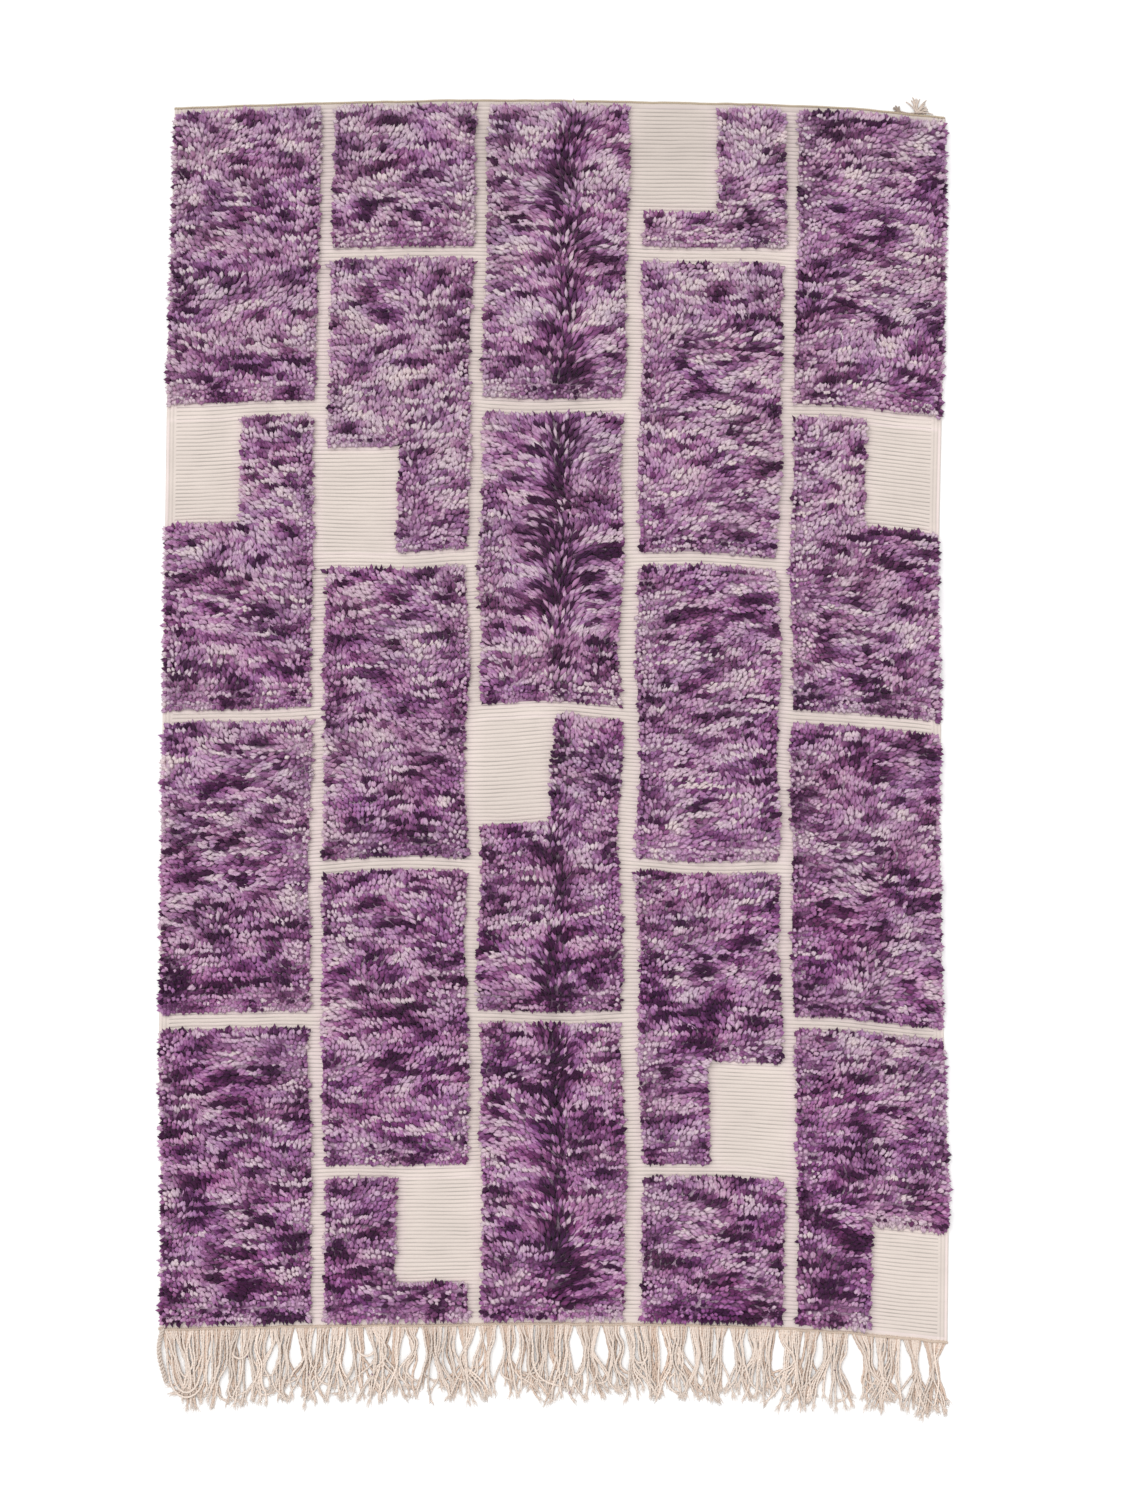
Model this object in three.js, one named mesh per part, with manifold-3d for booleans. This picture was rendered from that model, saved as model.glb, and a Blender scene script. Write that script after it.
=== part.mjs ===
// A hand-woven rug that lies flat, face up: knotted pile panels on a flat-woven, ribbed ground,
// with the warp ends left as a fringe at the foot.
//
// Millimetres, +Z up. The rug lies on the plane z = 0 with its fringe towards -Y. The origin is the
// centre of the whole footprint, fringe included.

import * as THREE from 'three';
import { mergeVertices } from 'three/addons/utils/BufferGeometryUtils.js';
import Module from 'manifold-3d';

const wasm = await Module();
wasm.setup();

// Woven body
const WIDTH = 1600;
const LENGTH = 2500;
const GROUND_THICKNESS = 5;
const PILE_TOP = 25;
const PILE_SHOULDER = 17;
const LUMP = 3;
const OUTLINE_STEP = 50;

// Pile panels: columns of equal panels, every second column dropped by half a panel
const COLUMNS = 5;
const PANELS_IN_COLUMN = 4;
const CHANNEL = 29;
const CHANNEL_SPREAD = 5;
const HEAD_WEB = 12;
const FOOT_HEM = 8;
const EDGE_INSET = 5;
const SHOULDER_RUN = 10;
const CORNER_CUT = 7;
const PANEL_STEP = 84;
const LOCK_STEP = 34;
const ROOT_DEPTH = 1;

// Hang of the pile over its own foot
const SIDE_BULGE = 4;
const SIDE_BULGE_HEIGHT = 11;
const LOCK_REACH = 15;
const LOCK_REACH_SPREAD = 5;
const LOCK_GAP_REACH = 2;
const LOCK_HEIGHT = 8;

// Crease left by lengthwise folding, where the pile stands up in a low ridge
const CREASE_AT_FOOT = 803;
const CREASE_AT_HEAD = 824;
const CREASE_RISE = 4;
const CREASE_REACH = 26;

// Flat-woven blocks, each cut out of the corner of one panel: column and panel counted from the foot's
// left-hand corner, the side of the panel it lies on, and the end of the panel it takes
const BLOCKS = [
  { column: 0, panel: 2, side: 'left', end: 'head' },
  { column: 1, panel: 0, side: 'right', end: 'head' },
  { column: 1, panel: 3, side: 'left', end: 'foot' },
  { column: 2, panel: 1, side: 'left', end: 'head' },
  { column: 3, panel: 1, side: 'right', end: 'foot' },
  { column: 3, panel: 4, side: 'left', end: 'head' },
  { column: 4, panel: 0, side: 'right', end: 'foot' },
  { column: 4, panel: 2, side: 'right', end: 'head' },
];
const BLOCK_WIDTH = 150;
const BLOCK_LENGTH = 215;
const RIB_PITCH = 8;
const RIB_RISE = 1.2;
const RIB_VALLEY_RISE = 0.2;
const RIB_MARGIN = 10;

// Outward stand of each side edge from the plain rectangle, at places from foot (0) to head (1)
const SIDE_EDGES = [
  { along: 0, left: 6, right: 8 },
  { along: 0.12, left: 3, right: 11 },
  { along: 0.22, left: 8, right: 3 },
  { along: 0.31, left: 5, right: -4 },
  { along: 0.42, left: 2, right: -9 },
  { along: 0.5, left: 0, right: -5 },
  { along: 0.6, left: -3, right: -11 },
  { along: 0.68, left: -6, right: -8 },
  { along: 0.79, left: -10, right: -2 },
  { along: 0.9, left: -19, right: 5 },
  { along: 1, left: -25, right: 4 },
];

// Outward stand of the foot and head edges, at places from the left edge (0) to the right (1)
const END_EDGES = [
  { across: 0, foot: 6, head: -8 },
  { across: 0.1875, foot: 1, head: 3 },
  { across: 0.375, foot: -3, head: 9 },
  { across: 0.5, foot: -5, head: 8 },
  { across: 0.625, foot: -3, head: 4 },
  { across: 0.75, foot: 2, head: 1 },
  { across: 0.875, foot: 13, head: -7 },
  { across: 1, foot: 34, head: -27 },
];

// Slow drift of the weave away from straight lines
const DRIFT = 5;
const DRIFT_LENGTH = 410;
const DRIFT_SLANT_X = 0.6;
const DRIFT_SLANT_Y = 0.35;

// Fringe of warp ends
const STRANDS = 128;
const STRAND_WIDTH = 5;
const STRAND_HEIGHT = 4.4;
const STRAND_LENGTH = 150;
const STRAND_LENGTH_SPREAD = 32;
const STRAND_SECTIONS = 3;
const STRANDS_IN_CLUMP = 3;
const CLUMP_CLOSING = 3.1;
const CLUMP_SWAY = 4;
const STRAND_BOW = 2;
const TIP_SHARE = 0.6;
const CORD_WIDTH = 8;
const CORD_HEIGHT = 4.6;
const KNOT_WIDTH = 8.4;
const KNOT_HEIGHT = 5.8;
const SEAT_GAP = 0.35;

// Knotted cord end with loose tails at the head's right-hand corner
const TAIL_KNOT_ACROSS = 0.962;
const TAIL_KNOT_RADIUS = 8;
const TAIL_KNOT_CROWN = 5;
const TAIL_KNOT_HEIGHT = 9;
const TAIL_KNOT_SIDES = 10;
const TAIL_ROOT_RADIUS = 3;
const TAIL_COUNT = 9;
const TAIL_LENGTH = 34;
const TAIL_LENGTH_SPREAD = 8;
const TAIL_WIDTH = 4;
const TAIL_FIRST_ANGLE = -8;
const TAIL_LAST_ANGLE = 172;

const MATERIALS = {
  pile: new THREE.MeshStandardMaterial({ color: 0x7b4a86, roughness: 0.95, metalness: 0 }),
  warp: new THREE.MeshStandardMaterial({ color: 0xe0d3c4, roughness: 0.9, metalness: 0 }),
};

// Repeatable number from 0 to 1 for two counters
function scatter(first, second) {
  const wave = Math.sin(first * 12.9898 + second * 78.233) * 43758.5453;
  return wave - Math.floor(wave);
}

// Value of one column of a table, between the two rows that hold the place
function between(table, key, name, place) {
  const index = Math.max(1, table.findIndex((row) => row[key] >= place));
  const upper = table[index];
  const lower = table[index - 1];
  const share = (place - lower[key]) / (upper[key] - lower[key]);
  return THREE.MathUtils.lerp(lower[name], upper[name], share);
}

// Lies a point of the plain rectangle, 0 to WIDTH by 0 to LENGTH, in the rug's real, uneven outline
function lay(across, along) {
  const u = THREE.MathUtils.clamp(across / WIDTH, 0, 1);
  const v = THREE.MathUtils.clamp(along / LENGTH, 0, 1);
  const inner = Math.sin(Math.PI * u) * Math.sin(Math.PI * v);
  const turn = (2 * Math.PI) / DRIFT_LENGTH;
  const driftX = DRIFT * inner * Math.sin((along + across * DRIFT_SLANT_X) * turn);
  const driftY = DRIFT * inner * Math.cos((across + along * DRIFT_SLANT_Y) * turn);
  const left = -WIDTH / 2 - between(SIDE_EDGES, 'along', 'left', v);
  const right = WIDTH / 2 + between(SIDE_EDGES, 'along', 'right', v);
  const foot = -between(END_EDGES, 'across', 'foot', u);
  const head = LENGTH + between(END_EDGES, 'across', 'head', u);
  const x = left + ((right - left) * across) / WIDTH + driftX;
  const y = foot + ((head - foot) * along) / LENGTH + driftY;
  return new THREE.Vector2(x, y);
}

// Steps from start to end of about the given size. The shoulders are kept, and the extra places
// that lie between them.
function stations(start, end, step, extras) {
  const inner = extras.filter((place) => place > start + SHOULDER_RUN && place < end - SHOULDER_RUN);
  const fixed = [start, start + SHOULDER_RUN, ...inner, end - SHOULDER_RUN, end];
  fixed.sort((one, other) => one - other);
  const places = [start];
  for (let i = 1; i < fixed.length; i += 1) {
    const span = fixed[i] - fixed[i - 1];
    const parts = Math.max(1, Math.round(span / step));
    for (let part = 1; part <= parts; part += 1) {
      places.push(fixed[i - 1] + (span * part) / parts);
    }
  }
  return places;
}

// Closed indexed geometry from points and triangles
function closedGeometry(points, triangles) {
  const geometry = new THREE.BufferGeometry();
  geometry.setAttribute('position', new THREE.Float32BufferAttribute(points.flat(), 3));
  geometry.setIndex(triangles.flat());
  return geometry;
}

function toSolid(geometry) {
  const bare = geometry.clone();
  bare.deleteAttribute('normal');
  bare.deleteAttribute('uv');
  const merged = mergeVertices(bare);
  return new wasm.Manifold(new wasm.Mesh({
    numProp: 3,
    vertProperties: Float32Array.from(merged.attributes.position.array),
    triVerts: Uint32Array.from(merged.index.array),
  }));
}

function toGeometry(solid) {
  const mesh = solid.getMesh();
  const geometry = new THREE.BufferGeometry();
  geometry.setAttribute('position', new THREE.BufferAttribute(mesh.vertProperties, 3));
  geometry.setIndex(new THREE.BufferAttribute(mesh.triVerts, 1));
  const faceted = geometry.toNonIndexed();
  faceted.computeVertexNormals();
  return faceted;
}

function join(geometries) {
  const solids = geometries.map(toSolid);
  return toGeometry(solids.reduce((whole, next) => whole.add(next)));
}

// Width of the flat-woven channel at one side of a panel
function channelWidth(column, line) {
  return CHANNEL + CHANNEL_SPREAD * (2 * scatter(column + 1, line + 7) - 1);
}

// Plain rectangles of the pile panels, from the foot to the head of each column
function panelLayout() {
  const pitchX = WIDTH / COLUMNS;
  const pitchY = LENGTH / PANELS_IN_COLUMN;
  const panels = [];
  for (let column = 0; column < COLUMNS; column += 1) {
    const dropped = column % 2 === 1;
    const lines = [0];
    for (let line = dropped ? 0.5 : 1; line < PANELS_IN_COLUMN; line += 1) {
      lines.push(line * pitchY);
    }
    lines.push(LENGTH);
    for (let panel = 0; panel < lines.length - 1; panel += 1) {
      const isFirst = panel === 0;
      const isLast = panel === lines.length - 2;
      panels.push({
        column,
        panel,
        left: column * pitchX + (column === 0 ? EDGE_INSET : channelWidth(column, -1) / 2),
        right: (column + 1) * pitchX
          - (column === COLUMNS - 1 ? EDGE_INSET : channelWidth(column + 1, -1) / 2),
        foot: lines[panel] + (isFirst ? FOOT_HEM : channelWidth(column, panel) / 2),
        head: lines[panel + 1] - (isLast ? HEAD_WEB : channelWidth(column, panel + 1) / 2),
        rims: {
          left: column === 0,
          right: column === COLUMNS - 1,
          foot: isFirst,
        },
      });
    }
  }
  return panels;
}

// Flat-woven block inside a panel's rectangle, or nothing
function blockOf(panel) {
  const block = BLOCKS.find((row) => row.column === panel.column && row.panel === panel.panel);
  if (!block) {
    return null;
  }
  const left = block.side === 'left' ? panel.left : panel.right - BLOCK_WIDTH;
  const foot = block.end === 'foot' ? panel.foot : panel.head - BLOCK_LENGTH;
  return { left, right: left + BLOCK_WIDTH, foot, head: foot + BLOCK_LENGTH };
}

function creaseAt(along) {
  return THREE.MathUtils.lerp(CREASE_AT_FOOT, CREASE_AT_HEAD, along / LENGTH);
}

function pileHeight(across, along) {
  const fromCrease = (across - creaseAt(along)) / CREASE_REACH;
  const ridge = CREASE_RISE * Math.exp(-fromCrease * fromCrease);
  return PILE_TOP + ridge + LUMP * (2 * scatter(across, along) - 1);
}

// Steps of a panel's grid in both directions
function panelGrid(panel, block) {
  const crease = creaseAt((panel.foot + panel.head) / 2);
  const acrossExtras = [crease - CREASE_REACH, crease, crease + CREASE_REACH];
  const alongExtras = [];
  if (block) {
    acrossExtras.push(block.left - SHOULDER_RUN, block.left, block.right, block.right + SHOULDER_RUN);
    alongExtras.push(block.foot - SHOULDER_RUN, block.foot, block.head, block.head + SHOULDER_RUN);
  }
  return {
    across: stations(panel.left, panel.right, PANEL_STEP, acrossExtras),
    along: stations(panel.foot, panel.head, PANEL_STEP, alongExtras),
  };
}

// Test for the grid's cells that carry pile: all but those of the panel's flat-woven block
function pileCells(grid, block) {
  return (i, j) => {
    if (i < 0 || j < 0 || i >= grid.across.length - 1 || j >= grid.along.length - 1) {
      return false;
    }
    const across = (grid.across[i] + grid.across[i + 1]) / 2;
    const along = (grid.along[j] + grid.along[j + 1]) / 2;
    const isInBlock = block && across > block.left && across < block.right
      && along > block.foot && along < block.head;
    return !isInBlock;
  };
}

// The four sides of a cell, counter-clockwise, each with its outward direction
const CELL_SIDES = [
  { name: 'foot', from: [0, 0], to: [1, 0], out: [0, -1] },
  { name: 'right', from: [1, 0], to: [1, 1], out: [1, 0] },
  { name: 'head', from: [1, 1], to: [0, 1], out: [0, 1] },
  { name: 'left', from: [0, 1], to: [0, 0], out: [-1, 0] },
];

// One pile panel: a lumpy top, rounded shoulders, sides that hang out over its root, and at the
// rug's rim a row of locks that reach outwards
function panelGeometry(panel) {
  const block = blockOf(panel);
  const grid = panelGrid(panel, block);
  const columns = grid.across.length - 1;
  const rows = grid.along.length - 1;
  const isPile = pileCells(grid, block);
  const points = [];
  const triangles = [];
  const root = new Map();
  const bulge = new Map();
  const top = new Map();

  const addPoint = (ring, key, spot, height) => {
    ring.set(key, points.length);
    points.push([spot.x, spot.y, height]);
  };
  const addSide = (key, across, along, out, reach, height) => {
    const spot = lay(across, along);
    const hang = spot.clone().addScaledVector(out.clone().normalize(), reach);
    const unevenness = LUMP * (scatter(along, across) - 0.5);
    addPoint(top, key, spot, PILE_SHOULDER + unevenness);
    addPoint(bulge, key, hang, height);
    addPoint(root, key, spot, GROUND_THICKNESS - ROOT_DEPTH);
  };
  const isRim = (i, j, side) => panel.rims[side.name] && (
    (side.name === 'left' && i === 0) || (side.name === 'right' && i === columns - 1)
    || (side.name === 'foot' && j === 0));
  const openSides = (i, j) => CELL_SIDES.filter((side) => !isPile(i + side.out[0], j + side.out[1]));
  const keyOf = (i, j) => `${i} ${j}`;

  const cells = [];
  for (let i = 0; i < columns; i += 1) {
    for (let j = 0; j < rows; j += 1) {
      if (isPile(i, j)) {
        cells.push([i, j]);
      }
    }
  }

  // Outward directions of the grid's points that lie on the panel's edge
  const outward = new Map();
  const rimPoints = new Set();
  for (const [i, j] of cells) {
    for (const side of openSides(i, j)) {
      for (const [di, dj] of [side.from, side.to]) {
        const key = keyOf(i + di, j + dj);
        const direction = outward.get(key) ?? new THREE.Vector2();
        outward.set(key, direction.add(new THREE.Vector2(...side.out)));
        if (isRim(i, j, side)) {
          rimPoints.add(key);
        }
      }
    }
  }

  // Points of the grid itself
  for (const [i, j] of cells) {
    for (const [di, dj] of CELL_SIDES.map((side) => side.from)) {
      const key = keyOf(i + di, j + dj);
      if (top.has(key)) {
        continue;
      }
      const out = outward.get(key);
      const cut = out && out.x !== 0 && out.y !== 0 ? CORNER_CUT : 0;
      const across = grid.across[i + di] - cut * Math.sign(out?.x ?? 0);
      const along = grid.along[j + dj] - cut * Math.sign(out?.y ?? 0);
      if (out) {
        const reach = rimPoints.has(key) ? LOCK_GAP_REACH : SIDE_BULGE;
        addSide(key, across, along, out, reach, SIDE_BULGE_HEIGHT);
      } else {
        addPoint(top, key, lay(across, along), pileHeight(across, along));
        addPoint(root, key, lay(across, along), GROUND_THICKNESS - ROOT_DEPTH);
      }
    }
  }

  // Points along one side of a cell. A side at the rug's rim is divided into locks and gaps.
  const sideKeys = (i, j, side) => {
    const keys = [keyOf(i + side.from[0], j + side.from[1])];
    const isOpen = !isPile(i + side.out[0], j + side.out[1]);
    const across = [side.from, side.to].map(([di]) => grid.across[i + di]);
    const along = [side.from, side.to].map(([, dj]) => grid.along[j + dj]);
    const length = Math.abs(across[1] - across[0]) + Math.abs(along[1] - along[0]);
    const parts = isOpen && isRim(i, j, side) ? 2 * Math.round(length / LOCK_STEP) : 1;
    for (let part = 1; part < parts; part += 1) {
      const key = `${i} ${j} ${side.name} ${part}`;
      if (!top.has(key)) {
        const isLock = part % 2 === 1;
        const place = part / parts;
        const reach = LOCK_REACH + LOCK_REACH_SPREAD * (2 * scatter(i + part, j + 3) - 1);
        addSide(
          key,
          THREE.MathUtils.lerp(across[0], across[1], place),
          THREE.MathUtils.lerp(along[0], along[1], place),
          new THREE.Vector2(...side.out),
          isLock ? reach : LOCK_GAP_REACH,
          isLock ? LOCK_HEIGHT : SIDE_BULGE_HEIGHT);
      }
      keys.push(key);
    }
    return keys;
  };

  for (const [i, j] of cells) {
    const loops = CELL_SIDES.map((side) => sideKeys(i, j, side));
    const loop = loops.flat();

    // Each cell is a fan of triangles from a corner between two undivided sides
    const apexSide = CELL_SIDES.findIndex((side, turn) => loops[turn].length === 1
      && loops[(turn + 3) % 4].length === 1);
    const apex = loop.indexOf(loops[apexSide][0]);
    for (let step = 1; step < loop.length - 1; step += 1) {
      const [first, second, third] = [0, step, step + 1].map((turn) => loop[(apex + turn) % loop.length]);
      triangles.push([top.get(first), top.get(second), top.get(third)]);
      triangles.push([root.get(first), root.get(third), root.get(second)]);
    }
    for (const side of openSides(i, j)) {
      const turn = CELL_SIDES.indexOf(side);
      const run = [...loops[turn], loops[(turn + 1) % 4][0]];
      for (let step = 0; step < run.length - 1; step += 1) {
        for (const [low, high] of [[root, bulge], [bulge, top]]) {
          const [start, end] = [run[step], run[step + 1]];
          triangles.push([low.get(start), low.get(end), high.get(end)]);
          triangles.push([low.get(start), high.get(end), high.get(start)]);
        }
      }
    }
  }
  return closedGeometry(points, triangles);
}

// Outline of the woven ground, counter-clockwise from the foot's left-hand corner
function outlinePoints() {
  const points = [];
  const acrossSteps = WIDTH / OUTLINE_STEP;
  const alongSteps = LENGTH / OUTLINE_STEP;
  for (let i = 0; i < acrossSteps; i += 1) points.push(lay(i * OUTLINE_STEP, 0));
  for (let j = 0; j < alongSteps; j += 1) points.push(lay(WIDTH, j * OUTLINE_STEP));
  for (let i = acrossSteps; i > 0; i -= 1) points.push(lay(i * OUTLINE_STEP, LENGTH));
  for (let j = alongSteps; j > 0; j -= 1) points.push(lay(0, j * OUTLINE_STEP));
  return points;
}

function groundGeometry() {
  const outline = new THREE.Shape(outlinePoints());
  return new THREE.ExtrudeGeometry(outline, { depth: GROUND_THICKNESS, bevelEnabled: false });
}

// Weft ribs of one flat-woven block, as one ridged plate seated in the ground
function ribGeometry(block) {
  const width = BLOCK_WIDTH - 2 * RIB_MARGIN;
  const count = Math.floor((BLOCK_LENGTH - 2 * RIB_MARGIN) / RIB_PITCH);
  const valley = GROUND_THICKNESS + RIB_VALLEY_RISE;
  const profile = new THREE.Shape();
  profile.moveTo(0, GROUND_THICKNESS - ROOT_DEPTH);
  profile.lineTo(count * RIB_PITCH, GROUND_THICKNESS - ROOT_DEPTH);
  profile.lineTo(count * RIB_PITCH, valley);
  for (let rib = count - 1; rib >= 0; rib -= 1) {
    profile.lineTo((rib + 0.5) * RIB_PITCH, GROUND_THICKNESS + RIB_RISE);
    profile.lineTo(rib * RIB_PITCH, valley);
  }
  const plate = new THREE.ExtrudeGeometry(profile, { depth: width, bevelEnabled: false });
  plate.rotateX(Math.PI / 2);
  plate.rotateZ(Math.PI / 2);
  plate.translate(block.left + RIB_MARGIN, block.foot + RIB_MARGIN, 0);
  const places = plate.attributes.position;
  for (let i = 0; i < places.count; i += 1) {
    const spot = lay(places.getX(i), places.getY(i));
    places.setXY(i, spot.x, spot.y);
  }
  return plate;
}

function rugGeometry() {
  const panels = panelLayout();
  const blocks = panels.map(blockOf).filter((block) => block !== null);
  return join([
    groundGeometry(),
    ...panels.map(panelGeometry),
    ...blocks.map(ribGeometry),
  ]);
}

// Three-sided strand that lies level on the floor: one flat face down and a rounded back as its apex
function strandGeometry(path) {
  const points = [];
  const triangles = [];
  path.forEach((stop, index) => {
    const before = path[Math.max(index - 1, 0)];
    const after = path[Math.min(index + 1, path.length - 1)];
    const direction = new THREE.Vector2(after.x - before.x, after.y - before.y).normalize();
    const half = stop.width / 2;
    points.push([stop.x + direction.y * half, stop.y - direction.x * half, 0]);
    points.push([stop.x, stop.y, stop.height]);
    points.push([stop.x - direction.y * half, stop.y + direction.x * half, 0]);
  });
  for (let ring = 0; ring < path.length - 1; ring += 1) {
    for (let side = 0; side < 3; side += 1) {
      const a = ring * 3 + side;
      const b = ring * 3 + ((side + 1) % 3);
      triangles.push([a, b + 3, b], [a, a + 3, b + 3]);
    }
  }
  const last = (path.length - 1) * 3;
  triangles.push([0, 1, 2], [last, last + 2, last + 1]);
  return closedGeometry(points, triangles);
}

// Path of one warp end: a knot in the cord, then a slightly bowed run that closes on its clump
function strandPath(strand) {
  const pitch = WIDTH / STRANDS;
  const root = lay((strand + 0.5) * pitch, 0);
  const clump = Math.floor(strand / STRANDS_IN_CLUMP);
  const place = (strand % STRANDS_IN_CLUMP) - (STRANDS_IN_CLUMP - 1) / 2;
  const sway = CLUMP_SWAY * (2 * scatter(clump, 5) - 1);
  const bow = STRAND_BOW * (2 * scatter(clump, 11) - 1);
  const length = STRAND_LENGTH + STRAND_LENGTH_SPREAD * (2 * scatter(strand, 17) - 1);
  const seat = root.y - SEAT_GAP - CORD_WIDTH;
  const path = [
    { x: root.x, y: seat + CORD_WIDTH / 2, width: KNOT_WIDTH, height: KNOT_HEIGHT },
    { x: root.x, y: seat - 1, width: STRAND_WIDTH, height: STRAND_HEIGHT },
  ];
  for (let section = 1; section <= STRAND_SECTIONS; section += 1) {
    const share = section / STRAND_SECTIONS;
    const closing = (sway - place * CLUMP_CLOSING) * share * share;
    const size = share === 1 ? TIP_SHARE : 1;
    path.push({
      x: root.x + closing + bow * Math.sin(share * Math.PI),
      y: seat - 1 - length * share,
      width: STRAND_WIDTH * size,
      height: STRAND_HEIGHT * size,
    });
  }
  return path;
}

// Twined cord that holds the warp ends, a seat gap away from the cloth's foot
function cordGeometry() {
  const upper = [];
  const lower = [];
  for (let across = 0; across <= WIDTH; across += OUTLINE_STEP) {
    const spot = lay(across, 0);
    upper.push(new THREE.Vector2(spot.x, spot.y - SEAT_GAP));
    lower.push(new THREE.Vector2(spot.x, spot.y - SEAT_GAP - CORD_WIDTH));
  }
  const outline = new THREE.Shape([...lower, ...upper.reverse()]);
  return new THREE.ExtrudeGeometry(outline, { depth: CORD_HEIGHT, bevelEnabled: false });
}

function fringeGeometry() {
  const strands = Array.from({ length: STRANDS }, (_, strand) => strandGeometry(strandPath(strand)));
  return join([cordGeometry(), ...strands]);
}

// Knotted cord end and its fan of loose tails
function cornerTailsGeometry() {
  const edge = lay(TAIL_KNOT_ACROSS * WIDTH, LENGTH);
  const centre = new THREE.Vector2(edge.x, edge.y + TAIL_KNOT_RADIUS + SEAT_GAP);
  const knot = new THREE.CylinderGeometry(
    TAIL_KNOT_CROWN, TAIL_KNOT_RADIUS, TAIL_KNOT_HEIGHT, TAIL_KNOT_SIDES);
  knot.rotateX(Math.PI / 2);
  knot.translate(centre.x, centre.y, TAIL_KNOT_HEIGHT / 2);
  const tails = [];
  for (let tail = 0; tail < TAIL_COUNT; tail += 1) {
    const degrees = THREE.MathUtils.lerp(TAIL_FIRST_ANGLE, TAIL_LAST_ANGLE, tail / (TAIL_COUNT - 1));
    const angle = THREE.MathUtils.degToRad(degrees);
    const length = TAIL_LENGTH + TAIL_LENGTH_SPREAD * (2 * scatter(tail, 23) - 1);
    const path = [0, 0.5, 1].map((share) => ({
      x: centre.x + Math.cos(angle) * (TAIL_ROOT_RADIUS + length * share),
      y: centre.y + Math.sin(angle) * (TAIL_ROOT_RADIUS + length * share),
      width: TAIL_WIDTH * (share === 1 ? TIP_SHARE : 1),
      height: STRAND_HEIGHT * (share === 1 ? TIP_SHARE : 1),
    }));
    tails.push(strandGeometry(path));
  }
  return join([knot, ...tails]);
}

function pieceMesh(name, geometry, material) {
  const mesh = new THREE.Mesh(geometry, material);
  mesh.name = name;
  return mesh;
}

const group = new THREE.Group();
group.add(pieceMesh('rug', rugGeometry(), MATERIALS.pile));
group.add(pieceMesh('fringe', fringeGeometry(), MATERIALS.warp));
group.add(pieceMesh('corner_tails', cornerTailsGeometry(), MATERIALS.warp));

// The whole footprint is centred on the origin
const footprint = new THREE.Box3().setFromObject(group);
const centre = footprint.getCenter(new THREE.Vector3());
group.position.set(-centre.x, -centre.y, 0);
group.updateMatrixWorld(true);

export default group;
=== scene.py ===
"""Looks of a hand-woven rug lying flat: a ribbed ivory flat weave, panels of space-dyed knotted pile,
and the warp ends as a cotton fringe at the foot. Metres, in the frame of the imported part."""

import math

import bpy
import numpy as np
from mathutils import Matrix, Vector
from mathutils.geometry import tessellate_polygon


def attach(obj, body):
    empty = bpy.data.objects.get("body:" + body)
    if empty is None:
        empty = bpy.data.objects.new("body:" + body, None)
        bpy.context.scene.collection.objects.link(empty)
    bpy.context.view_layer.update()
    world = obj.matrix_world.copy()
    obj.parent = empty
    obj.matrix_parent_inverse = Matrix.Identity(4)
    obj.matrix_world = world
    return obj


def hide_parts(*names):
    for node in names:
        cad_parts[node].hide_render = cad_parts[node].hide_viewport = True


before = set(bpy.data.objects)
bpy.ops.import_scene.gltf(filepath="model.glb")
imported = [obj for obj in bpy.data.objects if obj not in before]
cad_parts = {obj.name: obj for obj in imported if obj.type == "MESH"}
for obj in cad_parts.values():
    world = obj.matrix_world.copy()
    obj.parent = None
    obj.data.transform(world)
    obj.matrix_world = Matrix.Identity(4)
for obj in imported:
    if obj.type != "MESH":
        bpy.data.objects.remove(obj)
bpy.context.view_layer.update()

MM = 0.001
FULL_TURN = 2 * np.pi

# Woven body, as in the part's source
WIDTH = 1600 * MM
LENGTH = 2500 * MM
GROUND_THICKNESS = 5 * MM
PILE_TOP = 25 * MM
COLUMNS = 5
PANELS_IN_COLUMN = 4
CHANNEL = 29 * MM
CHANNEL_SPREAD = 5 * MM
HEAD_WEB = 12 * MM
FOOT_HEM = 8 * MM
EDGE_INSET = 5 * MM
CREASE_AT_FOOT = 803 * MM
CREASE_AT_HEAD = 824 * MM
CREASE_RISE = 4 * MM
CREASE_REACH = 26 * MM

# Flat-woven blocks: the side and the end of the panel, by its column and its number from the foot
BLOCKS = {
    (0, 2): ("left", "head"),
    (1, 0): ("right", "head"),
    (1, 3): ("left", "foot"),
    (2, 1): ("left", "head"),
    (3, 1): ("right", "foot"),
    (3, 4): ("left", "head"),
    (4, 0): ("right", "foot"),
    (4, 2): ("right", "head"),
}
BLOCK_WIDTH = 150 * MM
BLOCK_LENGTH = 215 * MM

# Outward stand of the edges from the plain rectangle, in millimetres
SIDE_ALONG = [0, 0.12, 0.22, 0.31, 0.42, 0.5, 0.6, 0.68, 0.79, 0.9, 1]
SIDE_LEFT = [6, 3, 8, 5, 2, 0, -3, -6, -10, -19, -25]
SIDE_RIGHT = [8, 11, 3, -4, -9, -5, -11, -8, -2, 5, 4]
END_ACROSS = [0, 0.1875, 0.375, 0.5, 0.625, 0.75, 0.875, 1]
END_FOOT = [6, 1, -3, -5, -3, 2, 13, 34]
END_HEAD = [-8, 3, 9, 8, 4, 1, -7, -27]

# Slow drift of the weave away from straight lines
DRIFT = 5 * MM
DRIFT_LENGTH = 410 * MM
DRIFT_SLANT_X = 0.6
DRIFT_SLANT_Y = 0.35

# Where the middle of the plain rectangle's foot lies in the frame
FOOT_MIDDLE = (-2.142 * MM, -1152.832 * MM)

SCATTER_TURNS = (12.9898, 78.233)
SCATTER_SCALE = 43758.5453
NOISE_CELLS = 64
NOISE_START = (17.3, 9.1)

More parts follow.
